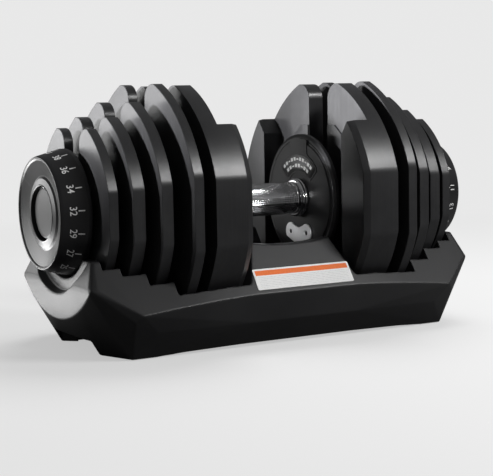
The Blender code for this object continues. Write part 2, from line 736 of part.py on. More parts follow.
def bridge_cutters():
    """The slanted flanks, the dipped top and the finger trough of the bridges beside the grip."""
    tools = []
    for side in (-1, 1):
        flank = [(side * x, z) for x, z in FLANK]
        tools.append(prism("flank", [flank], -FLANK_HALF, FLANK_HALF, ALONG_Y))
    half_chord = BRIDGE_TOP[0]
    radius = (half_chord ** 2 + BRIDGE_DIP ** 2) / (2 * BRIDGE_DIP)
    reach = math.asin(half_chord / radius) + 0.01
    top = BRIDGE_TOP[2] - BRIDGE_DIP
    dip = arc((0.0, top + radius), radius, -math.pi / 2 - reach, -math.pi / 2 + reach, 10)
    dip += [(dip[-1][0], POCKET_TOP), (dip[0][0], POCKET_TOP)]
    tools.append(prism("dip", [dip], -POCKET_TOP, POCKET_TOP, ALONG_Y))
    trough = rectangle(-TROUGH_HALF, TROUGH_FLOOR, TROUGH_HALF, POCKET_TOP)
    tools.append(prism("trough", [trough], -POCKET_START - WALL / 2, POCKET_START + WALL / 2))
    return tools


def underside_cutters():
    """The hollows and arches under the tray, which leave its walls and four corner feet."""
    below = TRAY_BASE - 0.0010
    tools = [box("long_arch", (-0.1250, -0.1100, below), (0.1250, 0.1100, TRAY_BASE + 0.0025))]
    half = [(0.0660, 0.0780), (0.0740, 0.0780), (0.0960, 0.0470), (0.0930, 0.0320), (0.0780, below)]
    outline = [(0.0, 0.0420), (0.0660, 0.0420)] + half
    outline += [(-u, v) for u, v in reversed(outline[1:])]
    tools.append(prism("bridge_hollow", [outline], -0.0400, 0.0400))
    for side in (-1, 1):
        notch = [(side * x, y) for x, y in ((0.2150, 0.0423), (0.1815, 0.0423), (0.1575, 0.0200))]
        notch += [(u, -v) for u, v in reversed(notch)]
        tools.append(prism("end_notch", [notch], below, 0.0140, ALONG_Z))
        for number, x0, x1, half_y in ((5, 0.0600, 0.1240, 0.0460), (3, 0.1290, 0.1480, 0.0430),
                                       (2, 0.1522, 0.1700, 0.0380)):
            xs = sorted((side * x0, side * x1))
            ceiling = pocket_floor(number) - WALL
            tools.append(box("hollow", (xs[0], -half_y, below), (xs[1], half_y, ceiling)))
        for across in (-1, 1):
            seat = circle(PAD_RADIUS + GAP, 20, centre=(side * PAD_X, across * PAD_Y))
            tools.append(prism("pad_seat", [seat], below, PAD_HEIGHT + GAP, ALONG_Z))
    return tools


def make_pedestals():
    """The blocks inside the pockets, under the guards, which carry the lock prongs."""
    low = pocket_floor(5) - WALL / 2
    pedestals = []
    for side in (-1, 1):
        xs = sorted((side * TOE_X, side * PEDESTAL_END))
        pedestals.append(box("pedestal", (xs[0], -PEDESTAL_HALF, low), (xs[1], PEDESTAL_HALF, PEDESTAL_TOP)))
    return pedestals


def make_tray():
    tray = tray_hull()
    seat = cradle_cutter()
    far_seat = seat.copy()
    PARTS.objects.link(far_seat)
    far_seat.name = "far_cradle"
    seat.location.z = AXIS_Z
    far_seat.matrix_world = Matrix.Translation((0.0, 0.0, AXIS_Z)) @ HALF_TURN
    tools = bridge_cutters() + [seat, far_seat]
    tools += pocket_cutters(1) + pocket_cutters(-1) + underside_cutters()
    combine(tray, tools, "DIFFERENCE")
    combine(tray, make_pedestals(), "UNION")
    merge_close_points(tray, GAP / 2)
    finish(tray, TRAY_PLASTIC)


def make_feet():
    for side_name, side in (("left", -1), ("right", 1)):
        for row_name, row in (("front", -1), ("rear", 1)):
            outline = circle(PAD_RADIUS, 20, centre=(side * PAD_X, row * PAD_Y))
            finish(prism(f"rubber_foot_{row_name}_{side_name}", [outline], 0.0, PAD_HEIGHT, ALONG_Z), RUBBER)


def make_prongs():
    """The posts in the tray that push the lock sliders up while the dumbbell is docked."""
    floor = PEDESTAL_TOP + GAP - AXIS_Z
    top = SLIDER_TAIL - GAP
    x0, x1 = GUARD_BACK + 0.0004, SLIDER_BACK
    outline = [(-0.0090, floor), (0.0090, floor), (0.0090, floor + WALL), (0.0060, floor + 2 * WALL),
               (0.0060, top), (-0.0060, top), (-0.0060, floor + 2 * WALL), (-0.0090, floor + WALL)]
    on_both_ends(finish(prism("lock_prong", [outline], x0, x1), STEEL))


def make_sticker():
    """A blank label on the front bridge's slope."""
    _, edge_y, edge_z = tray_edge(TRAY_EDGE_X / 3)
    _, top_y, top_z = BRIDGE_TOP
    slope = math.atan2(top_z - edge_z, edge_y - top_y)
    share = (STICKER_Z - edge_z) / (top_z - edge_z)
    lift = GAP + STICKER_THICKNESS / 2
    sticker = box("label_sticker", (-STICKER_SIZE[0] / 2, -STICKER_SIZE[1] / 2, -STICKER_THICKNESS / 2),
                  (STICKER_SIZE[0] / 2, STICKER_SIZE[1] / 2, STICKER_THICKNESS / 2))
    centre = Vector((0.0, -edge_y + share * (edge_y - top_y), STICKER_Z))
    centre += Vector((0.0, -math.sin(slope), math.cos(slope))) * lift
    sticker.matrix_world = Matrix.Translation(centre) @ Matrix.Rotation(slope, 4, "X")
    finish(sticker, PAPER)


make_tray()
make_feet()
make_sticker()
make_prongs()
make_grip()
make_guard()
make_badge()
make_bracket()
make_slider()
make_spring()
make_sleeve()
for plate_number in PLATES:
    make_disc(plate_number)
make_dial()
make_plates()
make_hooks()
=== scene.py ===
"""Adjustable dial dumbbell in its tray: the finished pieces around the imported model.

Pieces of an end are drawn with +X pointing outward and z = 0 on the handle's axis. The right
end stands as drawn, and the left end is the same piece turned half a turn about Z.
"""

import json
import math

import bmesh
import bpy
from mathutils import Matrix, Vector

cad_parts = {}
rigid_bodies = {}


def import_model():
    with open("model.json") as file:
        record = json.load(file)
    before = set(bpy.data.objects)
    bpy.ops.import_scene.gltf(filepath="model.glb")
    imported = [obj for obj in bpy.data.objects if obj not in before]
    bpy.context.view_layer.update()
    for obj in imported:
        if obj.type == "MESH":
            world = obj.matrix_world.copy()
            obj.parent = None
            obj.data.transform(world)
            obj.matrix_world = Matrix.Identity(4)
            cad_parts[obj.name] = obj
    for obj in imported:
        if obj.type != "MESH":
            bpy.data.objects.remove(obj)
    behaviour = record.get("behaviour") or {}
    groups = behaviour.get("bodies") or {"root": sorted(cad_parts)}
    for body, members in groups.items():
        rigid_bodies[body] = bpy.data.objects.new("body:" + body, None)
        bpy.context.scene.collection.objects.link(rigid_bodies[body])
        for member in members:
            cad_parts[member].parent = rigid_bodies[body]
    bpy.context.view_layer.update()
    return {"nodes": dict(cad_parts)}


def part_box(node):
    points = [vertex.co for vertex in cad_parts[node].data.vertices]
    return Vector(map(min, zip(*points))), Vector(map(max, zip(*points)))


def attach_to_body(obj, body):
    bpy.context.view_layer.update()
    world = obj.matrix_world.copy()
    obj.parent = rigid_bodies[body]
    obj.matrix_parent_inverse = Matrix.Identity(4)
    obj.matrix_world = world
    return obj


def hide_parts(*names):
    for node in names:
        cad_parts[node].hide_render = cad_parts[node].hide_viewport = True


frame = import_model()

AXIS_Z = sum(c.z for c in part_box("axle_rod")) / 2
TO_END = {
    "right": Matrix.Translation((0.0, 0.0, AXIS_Z)),
    "left": Matrix.Translation((0.0, 0.0, AXIS_Z)) @ Matrix.Rotation(math.pi, 4, "Z"),
}
UP = math.pi / 2


# ---- node materials

class Nodes:
    """A material's node tree, with short calls for its usual nodes."""

    def __init__(self, name):
        self.material = bpy.data.materials.new(name)
        self.material.use_nodes = True
        self.tree = self.material.node_tree
        self.shader = self.tree.nodes["Principled BSDF"]
        self.output = self.tree.nodes["Material Output"]
        self.coords = self.add("ShaderNodeTexCoord").outputs["Object"]

    def add(self, kind, inputs=None, **settings):
        node = self.tree.nodes.new(kind)
        for key, value in settings.items():
            setattr(node, key, value)
        for key, value in (inputs or {}).items():
            self.feed(node.inputs[key], value)
        return node

    def link(self, source, target):
        self.tree.links.new(source, target)

    def feed(self, socket, value):
        """Give a socket a number or a colour, or another node's output."""
        if isinstance(value, tuple):
            socket.default_value = (*value, 1.0)
        elif isinstance(value, (int, float)):
            socket.default_value = value
        else:
            self.link(value, socket)

    def scaled(self, factors):
        mapping = self.add("ShaderNodeMapping", {"Vector": self.coords})
        mapping.inputs["Scale"].default_value = factors
        return mapping.outputs["Vector"]

    def noise(self, scale, detail=3.0, roughness=0.55, vector=None):
        inputs = {"Scale": scale, "Detail": detail, "Roughness": roughness, "Vector": vector or self.coords}
        return self.add("ShaderNodeTexNoise", inputs).outputs["Fac"]

    def cells(self, scale):
        inputs = {"Scale": scale, "Vector": self.coords}
        return self.add("ShaderNodeTexVoronoi", inputs).outputs["Distance"]

    def spread(self, value, low, high, to_low=0.0, to_high=1.0):
        inputs = {"Value": value, "From Min": low, "From Max": high, "To Min": to_low, "To Max": to_high}
        return self.add("ShaderNodeMapRange", inputs).outputs["Result"]

    def math(self, operation, first, second=0.0):
        node = self.add("ShaderNodeMath", operation=operation)
        self.feed(node.inputs[0], first)
        self.feed(node.inputs[1], second)
        return node.outputs[0]

    def between(self, value, low, high):
        """1 where the value lies between low and high, 0 elsewhere."""
        above = self.math("GREATER_THAN", value, low)
        return self.math("MULTIPLY", above, self.math("LESS_THAN", value, high))

    def mix(self, factor, first, second):
        node = self.add("ShaderNodeMix", {"Factor": factor}, data_type="RGBA")
        for key, value in (("A", first), ("B", second)):
            self.feed(next(s for s in node.inputs if s.name == key and s.type == "RGBA"), value)
        return next(s for s in node.outputs if s.type == "RGBA")

    def plain_shader(self, kind, level):
        return self.add(kind, {"Color": (level, level, level)}).outputs[0]

    def mixed_shaders(self, factor, first, second):
        node = self.add("ShaderNodeMixShader")
        for socket, value in zip(node.inputs, (factor, first, second)):
            self.link(value, socket)
        return node.outputs[0]

    def edges(self, low, high):
        """1 on outer edges, 0 elsewhere."""
        pointiness = self.add("ShaderNodeNewGeometry").outputs["Pointiness"]
        return self.spread(pointiness, low, high)

    def bump(self, height, strength, distance):
        inputs = {"Strength": strength, "Distance": distance, "Height": height}
        return self.add("ShaderNodeBump", inputs).outputs["Normal"]

    def finish(self, colour, roughness, normal, metallic=0.0, specular=0.5):
        for key, value in (("Base Color", colour), ("Roughness", roughness), ("Normal", normal),
                           ("Metallic", metallic), ("Specular IOR Level", specular)):
            self.feed(self.shader.inputs[key], value)
        return self.material


def grey(level):
    return level, level, level, 1.0


def black(level):
    return level, level, level + 0.001


def moulded(name, dark, light, grain, gloss, depth, wear=0.10):
    """Black moulded surface: fine grain, faint clouds, slightly rubbed edges."""
    n = Nodes(name)
    clouds = n.noise(9.0, 4.0)
    fine = n.noise(grain, 2.0, 0.6)
    colour = n.mix(n.spread(clouds, 0.35, 0.65), black(dark), black(light))
    rubbed = n.math("MULTIPLY", n.edges(0.52, 0.60), n.spread(n.noise(160.0), 0.4, 0.7, 0.0, wear))
    colour = n.mix(rubbed, colour, (0.16, 0.16, 0.165))
    rough = n.math("ADD", n.spread(clouds, 0.3, 0.7, gloss - 0.03, gloss + 0.03),
                   n.spread(fine, 0.3, 0.7, -0.03, 0.03))
    pits = n.cells(grain * 0.7)
    height = n.math("ADD", fine, n.math("MULTIPLY", pits, 0.5))
    return n.finish(colour, rough, n.bump(height, 1.0, depth))


def plate_coating():
    """Black coating with faint upright streaks and a fine grain."""
    n = Nodes("plate_coating")
    clouds = n.noise(14.0, 4.0)
    fine = n.noise(1500.0, 2.0, 0.65)
    streaks = n.noise(1.0, 3.0, 0.6, n.scaled((420.0, 420.0, 9.0)))
    colour = n.mix(n.spread(clouds, 0.35, 0.65), black(0.016), black(0.024))
    colour = n.mix(n.spread(streaks, 0.45, 0.75, 0.0, 0.30), colour, (0.035, 0.035, 0.037))
    rubbed = n.math("MULTIPLY", n.edges(0.52, 0.58), n.spread(n.noise(130.0), 0.35, 0.7, 0.0, 0.10))
    colour = n.mix(rubbed, colour, (0.10, 0.10, 0.105))
    rough = n.math("ADD", n.spread(clouds, 0.3, 0.7, 0.31, 0.36), n.spread(fine, 0.3, 0.7, -0.03, 0.04))
    height = n.math("ADD", fine, n.math("MULTIPLY", n.cells(900.0), 0.6))
    return n.finish(colour, rough, n.bump(height, 1.0, 0.000035))


def brushed(name, colour, gloss, along, depth=0.00001):
    """Bright metal with fine lines along one direction."""
    n = Nodes(name)
    lines = n.noise(1.0, 4.0, 0.7, n.scaled(along))
    clouds = n.noise(60.0, 3.0)
    tint = n.mix(n.spread(clouds, 0.3, 0.7), tuple(c * 0.86 for c in colour), colour)
    rough = n.math("ADD", n.spread(lines, 0.3, 0.7, gloss - 0.05, gloss + 0.05),
                   n.spread(clouds, 0.3, 0.7, -0.03, 0.05))
    return n.finish(tint, rough, n.bump(lines, 0.6, depth), metallic=1.0)


def chrome():
    n = Nodes("chrome")
    smudges = n.noise(45.0, 5.0, 0.6)
    scratches = n.noise(1.0, 2.0, 0.8, n.scaled((300.0, 2600.0, 2600.0)))
    tint = n.mix(n.spread(smudges, 0.4, 0.7), (0.82, 0.82, 0.83), (0.72, 0.72, 0.74))
    rough = n.math("ADD", n.spread(smudges, 0.3, 0.7, 0.05, 0.16), n.spread(scratches, 0.5, 0.8, 0.0, 0.08))
    return n.finish(tint, rough, n.bump(scratches, 0.25, 0.000006), metallic=1.0)


def rubber():
    n = Nodes("rubber")
    dust = n.noise(70.0, 4.0)
    colour = n.mix(n.spread(dust, 0.4, 0.75, 0.0, 0.5), (0.012, 0.012, 0.012), (0.05, 0.05, 0.048))
    return n.finish(colour, 0.85, n.bump(n.cells(1400.0), 0.6, 0.00005))


def white_print():
    n = Nodes("white_print")
    worn = n.noise(900.0, 3.0, 0.7)
    colour = n.mix(n.spread(worn, 0.45, 0.8, 0.0, 0.5), (0.90, 0.90, 0.89), (0.62, 0.62, 0.62))
    return n.finish(colour, 0.5, n.bump(worn, 0.5, 0.00001))


LABEL_BAND_REACH = 0.0497       # half the length of the orange band
LABEL_BAND = (0.36, 0.84)       # its lower and upper edge, as shares of half the label's height
LABEL_RULE_REACH = 0.0480
LABEL_RULES = (-0.86, 0.22)
LABEL_RULES_PER_SHARE = 6.2
LABEL_RULE_WEIGHT = 0.30


def label_paper(half_height):
    """White label with an orange band below its top edge and faint ruled lines."""
    n = Nodes("label_paper")
    place = n.add("ShaderNodeSeparateXYZ", {"Vector": n.coords})
    from_middle = n.math("ABSOLUTE", place.outputs["X"])
    share = n.math("DIVIDE", place.outputs["Y"], half_height)
    fibres = n.noise(700.0, 5.0, 0.7)
    blend = n.spread(fibres, 0.3, 0.7)
    paper = n.mix(blend, (0.92, 0.92, 0.91), (0.97, 0.97, 0.96))
    ink = n.mix(blend, (0.92, 0.190, 0.045), (0.97, 0.24, 0.070))
    band = n.math("LESS_THAN", from_middle, LABEL_BAND_REACH)
    band = n.math("MULTIPLY", band, n.between(share, *LABEL_BAND))
    colour = n.mix(band, paper, ink)
    lines = n.math("FRACT", n.math("MULTIPLY", share, LABEL_RULES_PER_SHARE))
    rules = n.math("MULTIPLY", n.math("LESS_THAN", lines, LABEL_RULE_WEIGHT), n.between(share, *LABEL_RULES))
    rules = n.math("MULTIPLY", rules, n.math("LESS_THAN", from_middle, LABEL_RULE_REACH))
    rules = n.math("MULTIPLY", rules, n.spread(n.noise(420.0, 2.0), 0.35, 0.6, 0.05, 0.34))
    colour = n.mix(rules, colour, (0.30, 0.30, 0.31))
    return n.finish(colour, 0.45, n.bump(fibres, 0.25, 0.00001), specular=0.15)


MATERIALS = {
    "plate_coating": plate_coating(),
    "tray_plastic": moulded("tray_plastic", 0.011, 0.017, 1300.0, 0.46, 0.000030),
    "black_plastic": moulded("black_plastic", 0.011, 0.016, 1700.0, 0.33, 0.000018, 0.2),
    "guard_plastic": moulded("guard_plastic", 0.012, 0.018, 1500.0, 0.50, 0.000022, 0.2),
    "cap_plastic": moulded("cap_plastic", 0.020, 0.028, 2600.0, 0.45, 0.000010),
    "chrome": chrome(),
    "steel": brushed("steel", (0.52, 0.52, 0.54), 0.34, (2200.0, 80.0, 2200.0)),
    "silver": brushed("silver", (0.78, 0.78, 0.79), 0.42, (900.0, 3000.0, 60.0), 0.000012),
    "rubber": rubber(),
    "white_print": white_print(),
}


# ---- modelling helpers

def piece(name, mesh, material=None, matrix=None):
    """Put a mesh or curve in the scene, with its only material where one is named."""
    obj = bpy.data.objects.new(name, mesh)
    bpy.context.scene.collection.objects.link(obj)
    obj.matrix_world = matrix or Matrix.Identity(4)
    if material:
        mesh.materials.clear()
        mesh.materials.append(MATERIALS[material])
    return obj


def evaluated_mesh(obj):
    """The mesh with its modifiers and place applied; the object is removed."""
    bpy.context.view_layer.update()
    depsgraph = bpy.context.evaluated_depsgraph_get()
    mesh = bpy.data.meshes.new_from_object(obj.evaluated_get(depsgraph))
    mesh.transform(obj.matrix_world)
    bpy.data.objects.remove(obj, do_unlink=True)
    return mesh


def verts_in(items):
    return [item for item in items if isinstance(item, bmesh.types.BMVert)]


def mesh_of(bm, name):
    """A new mesh from bm, which is freed."""
    mesh = bpy.data.meshes.new(name)
    bm.to_mesh(mesh)
    bm.free()
    return mesh


def cleaned(mesh, distance=0.000002, angle=None):
    """Weld the mesh, turn its faces outward and set which edges shade sharp."""
    bm = bmesh.new()
    bm.from_mesh(mesh)
    bmesh.ops.remove_doubles(bm, verts=bm.verts, dist=distance)
    bmesh.ops.dissolve_degenerate(bm, edges=bm.edges, dist=distance)
    bmesh.ops.recalc_face_normals(bm, faces=bm.faces)
    bm.to_mesh(mesh)
    bm.free()
    mesh.shade_smooth()
    if angle:
        mesh.set_sharp_from_angle(angle=math.radians(angle))
    return mesh


def edge_bevel(obj, width, limit):
    """Round the object's edges that turn by more than limit, in degrees."""
    bevel = obj.modifiers.new("bevel", "BEVEL")
    bevel.width = width
    bevel.segments = 2
    bevel.limit_method = "ANGLE"
    bevel.angle_limit = math.radians(limit)
    return bevel


def bevelled(mesh, width, limit=25.0):
    """Round the mesh's sharp edges and shade its flat faces flat."""
    obj = piece("bevelling", mesh)
    bevel = edge_bevel(obj, width, limit)
    bevel.use_clamp_overlap = True
    bevel.miter_outer = "MITER_ARC"
    obj = piece("weighting", cleaned(evaluated_mesh(obj)))
    weighted = obj.modifiers.new("weighted", "WEIGHTED_NORMAL")
    weighted.keep_sharp = True
    return evaluated_mesh(obj)


def arc(centre, radius, start, end, steps):
    angles = [start + (end - start) * i / steps for i in range(steps + 1)]
    return [(centre[0] + radius * math.cos(a), centre[1] + radius * math.sin(a)) for a in angles]


def axis_arc(radius, start, end, steps):
    return arc((0.0, 0.0), radius, start, end, steps)


def mirrored(points):
    return [(-u, v) for u, v in reversed(points)]


def flipped(points):
    return [(u, -v) for u, v in reversed(points)]


FLAT_ANGLE = math.radians(176.0)    # corners flatter than this stay as they are
EDGE_SHARE = 0.45                   # the most of an edge that one rounded corner takes


def rounded(points, radii, steps=4):
    """A closed outline with an arc of its own radius at each corner."""
    result = []
    count = len(points)
    for i, (point, radius) in enumerate(zip(points, radii)):
        here = Vector(point)
        before = Vector(points[i - 1]) - here
        after = Vector(points[(i + 1) % count]) - here
        if radius <= 0 or before.angle(after) > FLAT_ANGLE:
            result.append(tuple(here))
            continue
        half = before.angle(after) / 2
        reach = min(radius / math.tan(half), before.length * EDGE_SHARE, after.length * EDGE_SHARE)
        start = here + before.normalized() * reach
        end = here + after.normalized() * reach
        for k in range(steps + 1):
            t = k / steps
            result.append(tuple(start * (1 - t) ** 2 + here * 2 * t * (1 - t) + end * t ** 2))
    return result


def prism(outlines, start, end, edge=0.0, steps=2):
    """A flat outline of (y, z), with holes, thick along X, its edges rounded by edge."""
    curve = bpy.data.curves.new("prism", "CURVE")
    curve.dimensions = "2D"
    curve.fill_mode = "BOTH"
    curve.extrude = abs(end - start) / 2 - edge
    curve.bevel_depth = edge
    curve.offset = -edge
    curve.bevel_resolution = steps
    for outline in outlines:
        spline = curve.splines.new("POLY")
        spline.points.add(len(outline) - 1)
        for point, (u, v) in zip(spline.points, outline):
            point.co = (u, v, 0.0, 1.0)
        spline.use_cyclic_u = True
    along_x = Matrix(((0, 0, 1), (1, 0, 0), (0, 1, 0))).to_4x4()
    obj = piece("prism", curve, matrix=along_x @ Matrix.Translation((0.0, 0.0, (start + end) / 2)))
    mesh = cleaned(evaluated_mesh(obj), 0.000005, 30.0)
    for face in mesh.polygons:
        if abs(face.normal.x) > 0.9999:
            face.use_smooth = False
    return mesh


def ring_of_verts(bm, x, radius, steps, phase=0.0):
    """Vertices evenly round the axis, the first phase steps past +Y."""
    angles = [2 * math.pi * (i + phase) / steps for i in range(steps)]
    return [bm.verts.new((x, radius * math.cos(a), radius * math.sin(a))) for a in angles]


def lathe(profile, steps=128, corner=0.0003, angle=32.0):
    """A body turned on X from a closed (x, radius) profile."""
    outline = rounded(profile, [corner if radius else 0.0 for _, radius in profile], 3)
    bm = bmesh.new()
    rings = []
    for x, radius in outline:
        if radius:
            rings.append(ring_of_verts(bm, x, radius, steps))
        else:
            rings.append([bm.verts.new((x, 0.0, 0.0))])
    for ring, following in zip(rings, rings[1:] + rings[:1]):
        if len(ring) == 1 and len(following) == 1:
            continue
        for i in range(steps):
            j = (i + 1) % steps
            corners = [ring[i % len(ring)], ring[j % len(ring)],
                       following[j % len(following)], following[i % len(following)]]
            bm.faces.new(list(dict.fromkeys(corners)))
    return cleaned(mesh_of(bm, "lathe"), angle=angle)


def united(mesh, others, operation="UNION"):
    """The mesh with all the others added to it or cut from it."""
    obj = piece("uniting", mesh)
    tools = []
    for i, other in enumerate(others):
        tool = piece(f"tool_{i}", other)
        boolean = obj.modifiers.new(f"boolean_{i}", "BOOLEAN")
        boolean.operation = operation
        boolean.solver = "EXACT"
        boolean.object = tool
        tools.append(tool)
    made = evaluated_mesh(obj)
    for tool in tools:
        bpy.data.objects.remove(tool, do_unlink=True)
    return made


def joined(meshes):
    """One mesh from several that lie apart or in each other."""
    bm = bmesh.new()
    for mesh in meshes:
        bm.from_mesh(mesh)
    made = mesh_of(bm, "joined")
    made.shade_smooth()
    made.set_sharp_from_angle(angle=math.radians(35.0))
    return made


def attach(obj, body, node):
    """The piece rides on the body and stands for the node, which is hidden."""
    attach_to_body(obj, body)
    if node:
        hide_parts(node)


def at_both_ends(name, mesh, material="black_plastic", body="handle", replaced=None):
    """The piece at each end, riding on that end's body."""
    mesh.materials.clear()
    mesh.materials.append(MATERIALS[material])
    for end, matrix in TO_END.items():
        obj = piece(f"{name}_{end}", mesh, matrix=matrix)
        attach(obj, body.format(end=end), replaced and replaced.format(end=end))


BOXES = {}


def right_box(node):
    """Lowest and highest corner of a right end's node, with z from the handle's axis."""
    if node not in BOXES:
        low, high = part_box(node + "_right")
        drop = Vector((0.0, 0.0, AXIS_Z))
        BOXES[node] = (low - drop, high - drop)
    return BOXES[node]


# ---- weight plates

ARC_OFFSET = 0.0143             # a side arc is centred this far past the middle
ARC_DROP = 0.0073               # and this far below the axis
SLOT_RADIUS = 0.0167
HORN_Y = 0.0347
HORN_ROUND = 0.0150
BLOCK_RIM_SETBACK = 0.0064      # from a block's face to its full outline
BLOCK_INSET = 0.0028
BLOCK_INNER = 0.0703
BLOCK_SHOULDER = 0.0620
BLOCK_TOP_Y = 0.0830
BLOCK_ARC_STEPS = 10
UPPER_ARC_STEPS = 12
PLATE_BEVEL = 0.0005
HOOK_GAP = 0.0003
SLOT_COLLAR = ((SLOT_RADIUS + 0.0008, 0.0300), (0.0420, 0.0300), (0.0420, 0.0620), (0.0300, 0.0712),
               (SLOT_RADIUS + 0.0008, 0.0712))      # raised patch beside the slot of plate 5
COLLAR_SPAN = (-0.0013, 0.0010)


def side_arc(radius, y_from, y_to, steps):
    start, end = (math.acos((y + ARC_OFFSET) / radius) for y in (y_from, y_to))
    return arc((-ARC_OFFSET, -ARC_DROP), radius, start, end, steps)


def plate_sizes(number):
    low, high = right_box(f"weight_plate_{number}")
    radius = math.hypot(high.z + ARC_DROP, HORN_Y + ARC_OFFSET)
    return low, high, radius


def foot_reach(low, radius):
    return math.sqrt(radius ** 2 - (ARC_DROP - low.z) ** 2) - ARC_OFFSET


def half_plate(number):
    """The plate's outline from the slot's bottom round to the foot, on the +Y side."""
    low, high, radius = plate_sizes(number)
    slot = axis_arc(SLOT_RADIUS, -UP, 0.0, 9)
    horn = arc((SLOT_RADIUS + HORN_ROUND, high.z - HORN_ROUND), HORN_ROUND, math.pi, UP, 10)
    split = BLOCK_TOP_Y if number == 5 else (HORN_Y + high.y) / 2
    side = side_arc(radius, HORN_Y, split, UPPER_ARC_STEPS)
    side += side_arc(radius, split, high.y, BLOCK_ARC_STEPS)[1:]
    lower = flipped(side_arc(radius, foot_reach(low, radius), high.y, 20))
    return slot[1:], horn, side, lower


def full_outline(number):
    slot, horn, side, lower = half_plate(number)
    half = slot + horn + side + lower
    return [(0.0, -SLOT_RADIUS)] + half + mirrored(half)


def plain_plate(number):
    low, high, _ = plate_sizes(number)
    mesh = prism([full_outline(number)], low.x, high.x)
    bm = bmesh.new()
    bm.from_mesh(mesh)
    bmesh.ops.dissolve_limit(bm, angle_limit=math.radians(0.5), verts=bm.verts, edges=bm.edges)
    return bevelled(mesh_of(bm, "plate"), PLATE_BEVEL)


def join_loops(bm, loop, following):
    for i in range(len(loop)):
        j = (i + 1) % len(loop)
        bm.faces.new((loop[i], loop[j], following[j], following[i]))


def innermost_plate():
    """Plate 5: its disc, and a block with a drawn-in face either side of the guard."""
    low, high, radius = plate_sizes(5)
    inner = right_box("plate_hook_5")[1].x + HOOK_GAP
    slot, horn, side, _ = half_plate(5)
    shoulder = side[UPPER_ARC_STEPS:]       # the part of the round side that a block shares
    foot = flipped(side_arc(radius, foot_reach(low, radius), BLOCK_TOP_Y, 12)[:-1])
    half = slot + horn + side + flipped(shoulder) + foot
    outline = [(0.0, -SLOT_RADIUS)] + half + mirrored(half)
    bm = bmesh.new()
    outer, face = ([bm.verts.new((x, u, v)) for u, v in outline] for x in (high.x, inner))
    bm.faces.new(outer)
    join_loops(bm, outer, face)
    first = 1 + len(slot) + len(horn) + UPPER_ARC_STEPS
    last = first + 2 * len(shoulder) - 1
    borders = {1: face[first:last + 1], -1: [face[-k] for k in range(first, last + 1)]}
    for across, border in borders.items():
        corners = [bm.verts.new((inner, across * BLOCK_INNER, z)) for z in (-BLOCK_SHOULDER, BLOCK_SHOULDER)]
        loop = border + corners
        begin, end = sorted((face.index(border[0]), face.index(border[-1])))
        face[begin + 1:end] = corners[::-across]
        for x, inset in ((low.x + BLOCK_RIM_SETBACK, 0.0), (low.x, BLOCK_INSET)):
            rim = side_arc(radius - inset, BLOCK_TOP_Y - inset, high.y - inset, BLOCK_ARC_STEPS)
            points = rim + flipped(rim) + [(BLOCK_INNER, -BLOCK_SHOULDER), (BLOCK_INNER, BLOCK_SHOULDER)]
            following = [bm.verts.new((x, across * u, v)) for u, v in points]
            join_loops(bm, loop, following)
            loop = following
        bm.faces.new(loop)
    bm.faces.new(face)
    bmesh.ops.recalc_face_normals(bm, faces=bm.faces)
    parts = [bevelled(mesh_of(bm, "innermost_plate"), PLATE_BEVEL, 20.0)]
    start, end = (inner + x for x in COLLAR_SPAN)
    for across in (-1, 1):
        parts.append(prism([[(across * y, z) for y, z in SLOT_COLLAR]], start, end, 0.0003))
    return joined(parts)


def make_plates():
    for number in range(1, 6):
        mesh = innermost_plate() if number == 5 else plain_plate(number)
        at_both_ends(f"plate_{number}", mesh, "plate_coating", f"plate_{number}_{{end}}",
                     f"weight_plate_{number}_{{end}}")


# ---- dials

SETTINGS = (40, 38, 36, 34, 32, 29, 27, 25, 22, 20, 18, 15, 13, 11, 9, 7, 5)
STEP = 2 * math.pi / len(SETTINGS)
DIGIT_X = 0.2070                # middle of the digits, from the middle of the handle
DIGIT_HEIGHT = 0.0063
FONT_SIZE_PER_HEIGHT = 1.38
DIGIT_SQUEEZE = 0.98
TICK = (0.1973, 0.2029)
TICK_WIDTH = 0.0011
RING_RADIUS = 0.0565            # of the number ring where the ticks are
DIGIT_RADIUS = 0.0545
PRINT_DEPTH = 0.00012
DIAL_RIM = 0.0508
DIAL_BAND = 0.0040              # the ring's straight part, beside the plates
CAP_GAP = 0.0018
CAP_SEAT = 0.2070
HUB = 0.0170
HUB_BORE = 0.0123
SHELL_FLOOR = 0.2035            # the inside of the dial, behind its boss
SHELL_FACE = (0.2097, 0.0340)


